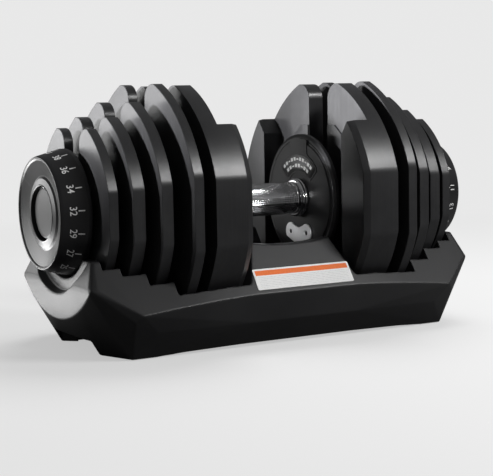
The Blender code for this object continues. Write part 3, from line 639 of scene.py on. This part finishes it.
def make_dial_bodies():
    """Each dial, the cap in its middle and the bright ring round the cap."""
    low, high = right_box("dial")
    widest, face, back, rim = high.z, high.x, low.x, DIAL_RIM
    cap_corner = right_box("dial_cap")[1]
    cap, cap_face = cap_corner.z, cap_corner.x
    well = cap + CAP_GAP
    profile = [
        (face - 0.0002, rim - 0.0022), (face, rim - 0.0017), (face, rim - 0.0008), (face - 0.0008, rim),
        (face - 0.0030, rim + 0.0008),
        (back + 0.0050, widest - 0.0003), (back + DIAL_BAND, widest), (back + 0.0006, widest),
        (back, widest - 0.0006), (back, widest - 0.0030),
        (SHELL_FACE[0], rim - 0.0030), SHELL_FACE, (SHELL_FLOOR, 0.0280), (SHELL_FLOOR, HUB),
        (back, HUB), (back, HUB_BORE), (CAP_SEAT, HUB_BORE), (CAP_SEAT, well),
        (0.2153, well), (0.2158, well + 0.0006), (0.2153, well + 0.0014),
        (0.2144, 0.0312), (0.2130, 0.0334), (face - 0.0012, rim - 0.0034),
    ]
    at_both_ends("dial_body", lathe(profile, 192, 0.0004), body="dial_{end}", replaced="dial_{end}")
    profile = [
        (cap_face, 0.0), (cap_face - 0.0002, cap * 0.55), (cap_face - 0.0006, cap - 0.0016),
        (cap_face - 0.0010, cap - 0.0004), (cap_face - 0.0018, cap), (CAP_SEAT + 0.0004, cap),
        (CAP_SEAT + 0.0004, 0.0),
    ]
    at_both_ends("dial_cap_disc", lathe(profile), "cap_plastic", "dial_{end}", replaced="dial_cap_{end}")
    inner, outer, top, foot = cap + 0.0001, cap + 0.0016, cap_face - 0.0040, CAP_SEAT + 0.0002
    profile = [(top, inner), (top + 0.0006, cap + 0.0009), (top, outer), (foot, outer), (foot, inner)]
    at_both_ends("dial_cap_ring", lathe(profile, corner=0.0002), "chrome", "dial_{end}")


def cone_point(across, x, lift):
    """A point of the number ring, across radians round it from straight up."""
    low, high = right_box("dial")
    share = (high.x - x) / (high.x - low.x - DIAL_BAND)
    radius = DIAL_RIM + (high.z - DIAL_RIM) * min(share, 1.0) + lift
    return Vector((x, radius * math.cos(UP + across), radius * math.sin(UP + across)))


def number_mesh(text):
    """Flat digits, x to the right and y up, centred on the origin."""
    curve = bpy.data.curves.new("digits", "FONT")
    curve.body = text
    curve.align_x = "CENTER"
    curve.align_y = "CENTER"
    curve.size = DIGIT_HEIGHT * FONT_SIZE_PER_HEIGHT
    curve.extrude = PRINT_DEPTH
    curve.offset = 0.00004
    curve.resolution_u = 4
    return evaluated_mesh(piece("digits", curve))


def make_dial_print():
    """White numbers and ticks, their tops towards the plates."""
    bm = bmesh.new()
    for i, setting in enumerate(SETTINGS):
        middle = -i * STEP
        first = len(bm.verts)
        mesh = number_mesh(str(setting))
        ys = [v.co.y for v in mesh.vertices]
        centre_y = (min(ys) + max(ys)) / 2
        bm.from_mesh(mesh)
        bm.verts.ensure_lookup_table()
        for vert in bm.verts[first:]:
            right, up, depth = vert.co.x * DIGIT_SQUEEZE, vert.co.y - centre_y, vert.co.z
            vert.co = cone_point(middle - right / DIGIT_RADIUS, DIGIT_X - up, depth)
        half = TICK_WIDTH / 2 / RING_RADIUS
        corners = []
        for lift in (-PRINT_DEPTH, PRINT_DEPTH):
            for x, sign in ((TICK[0], -1), (TICK[1], -1), (TICK[1], 1), (TICK[0], 1)):
                corners.append(bm.verts.new(cone_point(middle + sign * half, x, lift)))
        for face in ((0, 1, 2, 3), (7, 6, 5, 4), (0, 4, 5, 1), (1, 5, 6, 2), (2, 6, 7, 3), (3, 7, 4, 0)):
            bm.faces.new([corners[k] for k in face])
    mesh = cleaned(mesh_of(bm, "dial_print"), angle=30.0)
    at_both_ends("dial_numbers", mesh, "white_print", "dial_{end}")


# ---- handle

KNURL_STARTS = 52               # diamonds round the grip
KNURL_DEPTH = 0.00038
KNURL_MARGIN = 0.0030           # plain part at each end
GRIP_BORE = 0.0120
GRIP_EDGE = 0.0005
COLLAR_BORE = 0.0121
COLLAR_GROOVE = 0.0008
GUARD_BACK = 0.0630
GUARD_BORE = 0.0068
GUARD_STEP = 0.0012             # from the guard's middle back to its rim
RAIL_Y = (0.0083, 0.0113)
RAIL_Z = (-0.0480, -0.0363)
LEDGE_HALF, LEDGE_Z = 0.0060, (0.0503, 0.0543)
RAIL_START = 0.0620
CHANNEL_OUTER, CHANNEL_INNER = 0.0448, 0.0250
CHANNEL_NECK = 0.0152           # half the width of the channel up to the rim
CHANNEL_TURN = math.radians(51.0)


def make_grip():
    """A knurled tube: a net of valleys, the middle of each edge between them raised."""
    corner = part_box("handle_grip")[1]
    radius, half = corner.y, corner.x
    root, knurled = radius - KNURL_DEPTH, half - KNURL_MARGIN
    pitch = 2 * math.pi * radius / KNURL_STARTS
    rows = 2 * round(knurled / pitch)
    step = 2 * knurled / rows
    count = KNURL_STARTS
    bm = bmesh.new()
    valleys = [ring_of_verts(bm, step * k - knurled, root, count) for k in range(rows + 1)]
    middles = [ring_of_verts(bm, step * (k + 0.5) - knurled, root, count, 0.5) for k in range(rows)]
    for k in range(rows):
        for i in range(count):
            j = (i + 1) % count
            a, b = valleys[k][i], valleys[k][j]
            c, d = valleys[k + 1][i], valleys[k + 1][j]
            for pair in ((a, b), (b, d), (d, c), (c, a)):
                bm.faces.new((*pair, middles[k][i]))
    bmesh.ops.recalc_face_normals(bm, faces=bm.faces)
    straight = [e for e in bm.edges if e.calc_length() > min(step, pitch) * 0.9]
    made = bmesh.ops.subdivide_edges(bm, edges=straight, cuts=1)
    for vert in verts_in(made["geom_inner"]):
        vert.co.yz = vert.co.yz.normalized() * radius
    ends = ((knurled + 0.0006, radius), (half - GRIP_EDGE, radius), (half, radius - GRIP_EDGE),
            (half, GRIP_BORE))
    for side in (-1, 1):
        loop = [e for e in bm.edges if e.is_boundary and abs(e.verts[0].co.x - side * knurled) < 1e-6]
        for x, reach in ends:
            grown = bmesh.ops.extrude_edge_only(bm, edges=loop)["geom"]
            for vert in verts_in(grown):
                vert.co.x = side * x
                vert.co.yz = vert.co.yz.normalized() * reach
            loop = [item for item in grown if isinstance(item, bmesh.types.BMEdge)]
    bmesh.ops.bridge_loops(bm, edges=[e for e in bm.edges if e.is_boundary])
    bmesh.ops.triangulate(bm, faces=[f for f in bm.faces if len(f.verts) > 4])
    mesh = cleaned(mesh_of(bm, "grip"), 0.00001, 24.0)
    grip = piece("knurled_grip", mesh, "chrome", Matrix.Translation((0.0, 0.0, AXIS_Z)))
    attach(grip, "handle", "handle_grip")


def make_collars():
    low, high = right_box("grip_collar")
    radius = high.z
    groove = radius - COLLAR_GROOVE
    profile = [
        (low.x, COLLAR_BORE), (low.x, radius - 0.0016), (low.x + 0.0016, radius), (low.x + 0.0026, radius),
        (low.x + 0.0031, groove), (low.x + 0.0043, groove), (low.x + 0.0048, radius),
        (high.x, radius), (high.x, COLLAR_BORE),
    ]
    at_both_ends("collar_ring", lathe(profile, corner=0.0004), "chrome", "handle",
                 "grip_collar_{end}")


def oblong(left, right, low, high):
    return [(left, low), (right, low), (right, high), (left, high)]


def make_guards():
    """Each guard disc, the slider's rails behind it and the channel on its face."""
    low, high = right_box("end_guard")
    face, radius = low.x, high.z
    step = face + GUARD_STEP
    profile = [
        (GUARD_BACK, GUARD_BORE), (GUARD_BACK, radius), (face + 0.0024, radius), (step, radius - 0.0030),
        (step, radius - 0.0050), (face + 0.0017, radius - 0.0056), (step, radius - 0.0062),
        (step, radius - 0.0080), (face, radius - 0.0085), (face, GUARD_BORE),
    ]
    at_both_ends("guard_disc", lathe(profile, 160), "guard_plastic", replaced="end_guard_{end}")
    rails = [prism([oblong(*sorted(side * y for y in RAIL_Y), *RAIL_Z)], RAIL_START, high.x - 0.0015, 0.0002)
             for side in (-1, 1)]
    rails.append(prism([oblong(-LEDGE_HALF, LEDGE_HALF, *LEDGE_Z)], RAIL_START, high.x, 0.0002))
    at_both_ends("guard_rails", joined(rails))
    top = radius - 0.0034
    neck_foot = math.sqrt(CHANNEL_OUTER ** 2 - CHANNEL_NECK ** 2) + 0.0012
    half = [(0.0, top), (CHANNEL_NECK, math.sqrt(top ** 2 - CHANNEL_NECK ** 2)), (CHANNEL_NECK, neck_foot)]
    radii = [0.0, 0.0008, 0.0030]
    outer, outer_radii = band_end(CHANNEL_OUTER, CHANNEL_TURN, 0.0058, 16)
    inner, inner_radii = band_end(CHANNEL_INNER, CHANNEL_TURN, 0.0050, 10)
    past_neck = [i for i, (u, _) in enumerate(outer) if u > CHANNEL_NECK + 0.0030]
    half += [outer[i] for i in past_neck] + inner[::-1]
    radii += [outer_radii[i] for i in past_neck] + inner_radii[::-1]
    outline = rounded(half + mirrored(half[1:-1]), radii + radii[-2:0:-1], 5)
    at_both_ends("guard_channel", prism([outline], face - 0.0006, face + 0.0006, 0.0002), "guard_plastic")


def band_end(radius, turn, corner, steps):
    """From straight up round to turn, with room for a rounded corner there."""
    room = 2.3 * corner / radius
    points = axis_arc(radius, UP, UP - turn + room, steps)
    points.append((radius * math.sin(turn), radius * math.cos(turn)))
    return points, [0.0] * (steps + 1) + [corner]


def curved_band(inner, outer, turn, corner):
    """A band about the axis, centred straight up, with rounded ends."""
    points, radii = band_end(outer, turn, corner, 12)
    back, back_radii = band_end(inner, turn, corner, 12)
    points, radii = points + back[::-1], radii + back_radii[::-1]
    return rounded(points + mirrored(points[1:-1]), radii + radii[-2:0:-1], 6)


BADGE = (0.0270, 0.0425)        # inner and outer radius
BADGE_TURN = math.radians(47.0)
BADGE_LIP = 0.0012
# radius of each row, its number of marks, their length and half the row's angle in degrees
BADGE_ROWS = ((0.0383, 11, 0.0036, 38.0), (0.0318, 8, 0.0038, 33.0))
MARK_REACH = (-0.0017, 0.0017)
THIN_MARK_REACH = (-0.0009, 0.0004)
MARK_PROUD = 0.00005


def make_badges():
    """A curved badge above the grip, with two rows of plain marks."""
    low, high = right_box("guard_badge")
    inner, outer = BADGE
    rim = curved_band(inner, outer, BADGE_TURN, 0.0042)
    pad = curved_band(inner + BADGE_LIP, outer - BADGE_LIP, BADGE_TURN - 0.030, 0.0032)
    parts = [prism([rim], low.x + 0.0004, high.x, 0.0002), prism([pad], low.x, high.x - 0.0002, 0.0002)]
    at_both_ends("badge_plate", joined(parts), replaced="guard_badge_{end}")
    marks = []
    for radius, count, length, row_turn in BADGE_ROWS:
        half_turn = length / radius / 2
        for i in range(count):
            middle = UP + math.radians(row_turn) * (2 * i / (count - 1) - 1)
            down, up = THIN_MARK_REACH if i % 3 == 2 else MARK_REACH
            mark = axis_arc(radius + up, middle - half_turn, middle + half_turn, 3)
            mark += axis_arc(radius + down, middle + half_turn, middle - half_turn, 3)
            marks.append(prism([mark], low.x, low.x + 0.0004))
    mesh = joined(marks)
    mesh.transform(Matrix.Translation((-MARK_PROUD, 0.0, 0.0)))
    at_both_ends("badge_marks", mesh, "white_print")


LOBE, LOBE_RADIUS = (0.0140, -0.0345), 0.0090
SCREW_HOLE, HOLE_RADIUS = (0.0142, -0.0346), 0.0024
HOLE_SIDES = 24
SCREW_RADIUS = 0.0021
SCREW_FACE = 0.0006             # the screw's middle, behind the plate's face


def make_brackets():
    """The bright kidney-shaped plate below the grip, and the screws in its two holes."""
    low, high = right_box("lock_bracket")
    lobe = arc(LOBE, LOBE_RADIUS, math.radians(128.0), math.radians(-35.0), 18)
    half = [(0.0, -0.0300)] + lobe + [(0.0145, -0.0425), (0.0075, -0.0450), (0.0, -0.0455)]
    radii = [0.006] + [0.0] * len(lobe) + [0.004, 0.006, 0.006]
    outline = rounded(half + mirrored(half[1:-1]), radii + radii[-2:0:-1], 4)
    full_turn = 2 * math.pi * (HOLE_SIDES - 1) / HOLE_SIDES
    holes = [arc((side * SCREW_HOLE[0], SCREW_HOLE[1]), HOLE_RADIUS, 0.0, full_turn, HOLE_SIDES - 1)
             for side in (-1, 1)]
    mesh = prism([outline] + holes, low.x, high.x, 0.0004, 3)
    at_both_ends("lock_plate", mesh, "silver", "handle", "lock_bracket_{end}")
    profile = [(low.x + SCREW_FACE, 0.0), (low.x + SCREW_FACE, 0.0009), (low.x + 0.0003, 0.0013),
               (low.x + 0.0005, SCREW_RADIUS), (high.x, SCREW_RADIUS), (high.x, 0.0)]
    screws = []
    for side in (-1, 1):
        screw = lathe(profile, 32, 0.0001)
        screw.transform(Matrix.Translation((0.0, side * SCREW_HOLE[0], SCREW_HOLE[1])))
        screws.append(screw)
    at_both_ends("lock_plate_screws", joined(screws))


# ---- tray

TRAY_BASE = 0.0008
BELOW = TRAY_BASE - 0.0010      # where the tools that cut upwards start
FRONT_EDGE = (0.1654, 0.1035, 0.0518)   # end of the long upper edge, if it ran straight
EDGE_SETBACK, EDGE_FALL = 0.0025, 0.0103
EDGE_PARTS = 9
STRAIGHT_PARTS = 3              # the middle of the edge is straight, where the label lies
FRONT_CORNER = (0.1713, 0.0967, 0.0355)
SKIRT_RIDGE = ((0.0550, 0.0995, 0.0250), (0.1500, 0.0960, 0.0250))
FOOT_CORNERS = ((0.1680, 0.0810), (0.1815, 0.0450))
BAND_CORNER = (0.1990, 0.0795, 0.0650)
RIDGE_TOP = ((0.1970, 0.0625, 0.0872), (0.1950, 0.0650, 0.0864))
END_CORNER = ((0.2047, 0.0735, 0.0655), (0.2049, 0.0762, 0.0610), (0.2036, 0.0786, 0.0636))
SHIELD_X, SHIELD_RADIUS, SHIELD_CENTRE_Z = 0.2045, 0.1120, 0.1424
BRIDGE_TOP = (0.0430, 0.0734, 0.0933)
BRIDGE_DIP = 0.0032
FLANK = ((0.0600, 0.0562), (0.0576, 0.0562), (0.0424, 0.0940), (0.0424, 0.1100), (0.0600, 0.1100))
FLANK_REACH = 0.0962
GRIP_WELL = ((-0.0585, -0.0620, 0.0450), (0.0585, 0.0620, 0.1200))
CRADLE = ((0.2300, 0.0), (0.2300, 0.0722), (0.2040, 0.0720), (0.1970, 0.0706), (0.1970, 0.0595),
          (0.1874, 0.0595), (0.1874, 0.0))      # (x, radius) of the hollow under a dial
ARCH = ((-0.1550, TRAY_BASE - 0.0006), (-0.1150, TRAY_BASE + 0.0016), (-0.0600, TRAY_BASE + 0.0026))
ARCH_REACH = 0.1150
BRIDGE_HOLLOW = ((0.0660, 0.0420), (0.0660, 0.0780), (0.0740, 0.0780), (0.0960, 0.0470),
                 (0.0930, 0.0320), (0.0780, BELOW))
BRIDGE_HOLLOW_HALF = 0.0400
FOOT_NOTCH, NOTCH_TOP = ((0.2150, 0.0423), (0.1815, 0.0423), (0.1575, 0.0200)), 0.0140
END_HOLLOWS = ((5, 0.0600, 0.1240, 0.0460), (3, 0.1290, 0.1480, 0.0430), (2, 0.1522, 0.1700, 0.0380))
PAD_SEAT, SEAT_RADIUS, SEAT_TOP = (0.1520, 0.0620), 0.0093, 0.0033
SEAT_SIDES = 40
POCKET_CLEARANCE, PLATE_CLEARANCE = 0.0045, 0.0010
POCKET_START = 0.0570
POCKET_STEPS = {5: 0.1280, 3: 0.1512, 2: 0.1728, 1: 0.1889}
POCKET_OVERLAP = 0.0015
RIB_HEIGHT = 0.0120
POCKET_TOP = 0.1200
WALL = 0.0030
PEDESTAL = ((0.0550, -0.0640), (0.0798, 0.0640), 0.0400)
VOXEL = 0.00085


def tray_hull():
    """The tray's outer form: the convex body round one quarter's corners and their mirror images."""
    end_x, end_y, end_z = FRONT_EDGE
    quarter = []
    for i in range(STRAIGHT_PARTS, EDGE_PARTS + 1):
        share = i / EDGE_PARTS
        quarter.append((end_x * share, end_y - EDGE_SETBACK * share ** 2, end_z - EDGE_FALL * share ** 2))
    quarter += [*SKIRT_RIDGE, FRONT_CORNER, BAND_CORNER, BRIDGE_TOP, *END_CORNER, *RIDGE_TOP]
    quarter += [(x, y, TRAY_BASE) for x, y in FOOT_CORNERS]
    shield = arc((0.0, SHIELD_CENTRE_Z), SHIELD_RADIUS, -UP, -math.radians(48.0), 14)
    quarter += [(SHIELD_X, y, z) for y, z in shield]
    bm = bmesh.new()
    for x, y, z in quarter:
        for across in (-1, 1):
            for side in (-1, 1):
                bm.verts.new((across * x, side * y, z))
    bmesh.ops.remove_doubles(bm, verts=bm.verts, dist=0.00001)
    hull = bmesh.ops.convex_hull(bm, input=bm.verts)
    unused = set(verts_in(hull["geom_interior"] + hull["geom_unused"]))
    bmesh.ops.delete(bm, geom=list(unused), context="VERTS")
    bmesh.ops.recalc_face_normals(bm, faces=bm.faces)
    return mesh_of(bm, "tray")


def plate_foot(number):
    return AXIS_Z + plate_sizes(number)[0].z


def pocket_section(radius, floor, top, steps):
    centre_z = AXIS_Z + ARC_DROP
    half = []
    for i in range(steps + 1):
        z = top + (floor - top) * i / steps
        half.append((math.sqrt(radius ** 2 - (centre_z - z) ** 2) - ARC_OFFSET, z))
    return half + mirrored(half)


def pocket_tools(side):
    """One end's pockets: wide steps above the ribs, and each plate's slot between them."""
    tools = []
    floors = {number: plate_foot(number) - 0.0003 for number in range(1, 6)}
    start = POCKET_START
    for number, end in POCKET_STEPS.items():
        shelf = floors[4 if number == 5 else number] + RIB_HEIGHT
        outline = pocket_section(plate_sizes(number)[2] + POCKET_CLEARANCE, shelf, POCKET_TOP, 24)
        tools.append(prism([outline], *sorted((side * start, side * end))))
        start = end - POCKET_OVERLAP
    for number, floor in floors.items():
        low, high, radius = plate_sizes(number)
        near = POCKET_START + 0.0005 if number == 5 else low.x - PLATE_CLEARANCE
        far = high.x + PLATE_CLEARANCE
        outline = pocket_section(radius + POCKET_CLEARANCE - PLATE_CLEARANCE, floor,
                                 floor + RIB_HEIGHT + POCKET_OVERLAP, 8)
        tools.append(prism([outline], *sorted((side * near, side * far))))
    return tools


def sideways(outline, reach):
    """A prism along Y from an outline of (x, z)."""
    mesh = prism([[(-x, z) for x, z in outline]], -reach, reach)
    mesh.transform(Matrix.Rotation(UP, 4, "Z"))
    return mesh


def upright(outline, low, high):
    """A prism along Z from an outline of (x, y)."""
    mesh = prism([outline], low, high)
    mesh.transform(Matrix(((0, 1, 0, 0), (0, 0, 1, 0), (1, 0, 0, 0), (0, 0, 0, 1))))
    return mesh


def block_mesh(low, high):
    """A block between two corners, given in any order."""
    bm = bmesh.new()
    bmesh.ops.create_cube(bm, size=1.0)
    corners = [sorted(pair) for pair in zip(low, high)]
    low, high = (Vector([pair[k] for pair in corners]) for k in (0, 1))
    bmesh.ops.scale(bm, vec=high - low, verts=bm.verts)
    bmesh.ops.translate(bm, vec=(low + high) / 2, verts=bm.verts)
    return mesh_of(bm, "block")


def bridge_dip():
    """The shallow saddle across the top of the bridge between the two ends."""
    half, _, top = BRIDGE_TOP
    radius = (half ** 2 + BRIDGE_DIP ** 2) / (2 * BRIDGE_DIP)
    reach = math.asin(half / radius) + 0.01
    dip = arc((0.0, top - BRIDGE_DIP + radius), radius, -UP - reach, -UP + reach, 30)
    dip += [(dip[-1][0], POCKET_TOP), (dip[0][0], POCKET_TOP)]
    return sideways(dip, POCKET_TOP)


def underside_tools(side):
    """One end's hollows from below: between its feet, under each step, and the seats of its pads."""
    notch = [(side * x, y) for x, y in FOOT_NOTCH]
    tools = [upright(notch + flipped(notch), BELOW, NOTCH_TOP)]
    for number, near, far, half_y in END_HOLLOWS:
        ceiling = plate_foot(number) - 0.0003 - WALL
        tools.append(block_mesh((side * near, -half_y, BELOW), (side * far, half_y, ceiling)))
    for across in (-1, 1):
        seat = arc((side * PAD_SEAT[0], across * PAD_SEAT[1]), SEAT_RADIUS, 0.0,
                   2 * math.pi * (SEAT_SIDES - 1) / SEAT_SIDES, SEAT_SIDES - 1)
        tools.append(upright(seat, BELOW, SEAT_TOP))
    return tools


def tray_tools():
    """Everything that is cut from the tray's outer form."""
    tools = []
    for side in (-1, 1):
        tools.append(sideways([(side * x, z) for x, z in FLANK], FLANK_REACH))
        tools += pocket_tools(side)
        cradle = lathe(CRADLE, 160, 0.0)
        cradle.transform(Matrix.Translation((0.0, 0.0, AXIS_Z)) @ Matrix.Rotation(UP - side * UP, 4, "Z"))
        tools.append(cradle)
    tools.append(bridge_dip())
    tools.append(block_mesh(*GRIP_WELL))
    tools.append(sideways([*ARCH, *mirrored(ARCH), (0.0, -0.0200)], ARCH_REACH))
    hollow = [*BRIDGE_HOLLOW, *mirrored(BRIDGE_HOLLOW)]
    tools.append(prism([hollow], -BRIDGE_HOLLOW_HALF, BRIDGE_HOLLOW_HALF))
    return tools + underside_tools(-1) + underside_tools(1)


def make_tray():
    """The moulded tray, cut from its outer form, with every edge softened."""
    mesh = united(tray_hull(), tray_tools(), "DIFFERENCE")
    low, high, top = PEDESTAL
    floor = plate_foot(5) - 0.0018
    mesh = united(mesh, [block_mesh((side * low[0], low[1], floor), (side * high[0], high[1], top))
                         for side in (-1, 1)])
    obj = piece("tray_shell", mesh)
    remesh = obj.modifiers.new("remesh", "REMESH")
    remesh.mode = "VOXEL"
    remesh.voxel_size = VOXEL
    soften = obj.modifiers.new("soften", "SMOOTH")
    soften.iterations = 3
    thin = obj.modifiers.new("thin", "DECIMATE")
    thin.ratio = 0.25
    mesh = cleaned(evaluated_mesh(obj), 0.00001)
    attach(piece("tray_shell", mesh, "tray_plastic"), "tray", "tray_body")


LABEL_THICKNESS = 0.0004
LABEL_CORNER = 0.0015


def make_label():
    """A thin label with rounded corners on the front slope."""
    low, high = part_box("label_sticker")
    share = STRAIGHT_PARTS / EDGE_PARTS
    rise = BRIDGE_TOP[2] - FRONT_EDGE[2] + EDGE_FALL * share ** 2
    slope = math.atan2(rise, FRONT_EDGE[1] - EDGE_SETBACK * share ** 2 - BRIDGE_TOP[1])
    half_x = high.x
    half_y = ((high - low).z - LABEL_THICKNESS * math.cos(slope)) / math.sin(slope) / 2
    corners = [(half_x, -half_y), (half_x, half_y), (-half_x, half_y), (-half_x, -half_y)]
    mesh = upright(rounded(corners, [LABEL_CORNER] * 4, 5), -LABEL_THICKNESS / 2, LABEL_THICKNESS / 2)
    mesh.materials.append(label_paper(half_y))
    label = piece("label_sheet", mesh)
    label.matrix_world = Matrix.Translation((low + high) / 2) @ Matrix.Rotation(slope, 4, "X")
    attach(label, "tray", "label_sticker")


# ---- pieces kept from the CAD

KEPT = {
    "steel": ("plate_hook", "lock_slider", "lock_spring", "lock_prong", "axle_rod", "axle_nut"),
    "black_plastic": ("selector_disc", "selector_sleeve"),
    "rubber": ("rubber_foot",),
}
SMALL_BEVEL = 0.0002


def dress_kept_nodes():
    """Give the hidden mechanism and the feet their materials, and soften their edges."""
    for name, node in frame["nodes"].items():
        for material, stems in KEPT.items():
            if not name.startswith(stems):
                continue
            node.data.materials.clear()
            node.data.materials.append(MATERIALS[material])
            node.data.set_sharp_from_angle(angle=math.radians(30.0))
            if not name.startswith("lock_spring"):
                edge_bevel(node, SMALL_BEVEL, 40.0).harden_normals = True


# ---- stage, lights and camera

BACKDROP = 0.81
WORLD_FILL = 0.14
FLOOR_GLOW = 0.60               # share of the floor near the object that is plain backdrop
FLOOR_NEAR, FLOOR_FAR = 0.45, 1.30      # between these distances the floor becomes all backdrop
FLOOR_PALE, FLOOR_BOUNCE = 0.95, 0.16   # the floor as seen, and as it lights the object


def make_floor():
    """A pale floor that takes soft shadows and fades into the backdrop."""
    n = Nodes("floor")
    n.tree.nodes.remove(n.shader)
    across = n.add("ShaderNodeVectorMath", operation="LENGTH")
    n.link(n.coords, across.inputs[0])
    far = n.spread(across.outputs["Value"], FLOOR_NEAR, FLOOR_FAR, FLOOR_GLOW, 1.0)
    seen = n.plain_shader("ShaderNodeBsdfDiffuse", FLOOR_PALE)
    bounced = n.plain_shader("ShaderNodeBsdfDiffuse", FLOOR_BOUNCE)
    glow = n.plain_shader("ShaderNodeEmission", BACKDROP)
    camera = n.add("ShaderNodeLightPath").outputs["Is Camera Ray"]
    both = n.mixed_shaders(camera, bounced, n.mixed_shaders(far, seen, glow))
    n.link(both, n.output.inputs["Surface"])
    bm = bmesh.new()
    bmesh.ops.create_circle(bm, cap_ends=True, segments=64, radius=12.0)
    mesh = mesh_of(bm, "floor")
    mesh.materials.append(n.material)
    piece("floor", mesh)


def make_world():
    """The backdrop that the camera sees, and an even fill light."""
    world = bpy.data.worlds.new("studio")
    bpy.context.scene.world = world
    world.use_nodes = True
    tree = world.node_tree
    shown = tree.nodes["Background"]
    shown.inputs["Color"].default_value = grey(BACKDROP)
    fill = tree.nodes.new("ShaderNodeBackground")
    fill.inputs["Color"].default_value = grey(1.0)
    fill.inputs["Strength"].default_value = WORLD_FILL
    mix = tree.nodes.new("ShaderNodeMixShader")
    path = tree.nodes.new("ShaderNodeLightPath")
    tree.links.new(path.outputs["Is Camera Ray"], mix.inputs["Fac"])
    tree.links.new(fill.outputs[0], mix.inputs[1])
    tree.links.new(shown.outputs[0], mix.inputs[2])
    tree.links.new(mix.outputs[0], tree.nodes["World Output"].inputs["Surface"])


def placed_light(name, light, place, aim, lit=None):
    """Put a light at a place, turned to face aim; lit holds the only pieces it reaches."""
    obj = bpy.data.objects.new(name, light)
    bpy.context.scene.collection.objects.link(obj)
    obj.location = place
    obj.rotation_euler = (Vector(place) - Vector(aim)).to_track_quat("Z", "Y").to_euler()
    obj.visible_camera = False
    if lit:
        obj.light_linking.receiver_collection = lit
    return obj


def area_light(name, place, aim, size, power, lit=None):
    light = bpy.data.lights.new(name, "AREA")
    light.shape = "RECTANGLE"
    light.size, light.size_y = size
    light.energy = power
    return placed_light(name, light, place, aim, lit)


def spot_light(name, place, aim, radius, width, power, lit):
    """A soft-edged beam, width degrees across, on the lit pieces alone."""
    light = bpy.data.lights.new(name, "SPOT")
    light.shadow_soft_size = radius
    light.spot_size = math.radians(width)
    light.spot_blend = 1.0
    light.energy = power
    return placed_light(name, light, place, aim, lit)


STAGE_NAMES = ("floor",)
DIAL_NAMES = ("dial",)
BRIGHT_NAMES = ("knurled_grip", "collar_ring", "lock_plate", "badge_marks")


def collection_of(name, chosen):
    """The meshes with chosen names, as a collection that a light is limited to."""
    made = bpy.data.collections.new(name)
    for obj in bpy.context.scene.objects:
        if obj.type == "MESH" and chosen(obj.name):
            made.objects.link(obj)
    return made


def make_lights():
    """A hard key from the left, cards for the reflections, a key in front and a soft top light."""
    pieces = collection_of("pieces", lambda name: not name.startswith(STAGE_NAMES))
    plates = collection_of("plates", lambda name: not name.startswith(STAGE_NAMES + DIAL_NAMES))
    bright = collection_of("bright", lambda name: name.startswith(BRIGHT_NAMES))
    key = spot_light("key_left", (-1.80, 0.50, 0.60), (-0.13, 0.0, 0.290), 0.10, 9.6, 2200.0, plates)
    card = area_light("card_left_rear", (-0.53, 0.46, 0.185), (-0.17, 0.0, 0.185), (0.50, 0.15), 1.15, pieces)
    low = area_light("card_low", (-0.34, 0.22, 0.006), (-0.34, 0.22, 1.0), (0.16, 0.24), 1.8, pieces)
    area_light("card_grip", (0.45, -1.15, 0.60), (0.0, 0.0, 0.13), (0.50, 0.80), 13.0, bright)
    area_light("fill_guards", (-0.55, -1.15, 0.45), (0.06, 0.0, 0.13), (0.30, 0.30), 10.0, bright)
    area_light("key_front_right", (0.84, -1.22, 1.00), (0.0, 0.0, 0.12), (0.56, 0.20), 17.0)
    overhead = area_light("overhead", (0.55, 0.45, 1.40), (0.0, 0.0, 0.10), (1.0, 0.8), 16.0)
    for reflected in (card, low):
        reflected.visible_diffuse = False
    for diffuse_only in (key, overhead):
        diffuse_only.visible_glossy = False


def make_camera():
    data = bpy.data.cameras.new("photo_view")
    data.sensor_width = 36.0
    data.sensor_fit = "HORIZONTAL"
    data.lens = 98.254
    camera = bpy.data.objects.new("photo_view", data)
    bpy.context.scene.collection.objects.link(camera)
    camera.location = (-0.65986, -1.12417, 0.22619)
    camera.rotation_euler = (1.46617, 0.01806, -0.5298)
    bpy.context.scene.camera = camera


make_plates()
make_dial_bodies()
make_dial_print()
make_grip()
make_collars()
make_guards()
make_badges()
make_brackets()
make_tray()
make_label()
dress_kept_nodes()
make_floor()
make_world()
make_lights()
make_camera()
bpy.context.scene.view_settings.view_transform = "Standard"
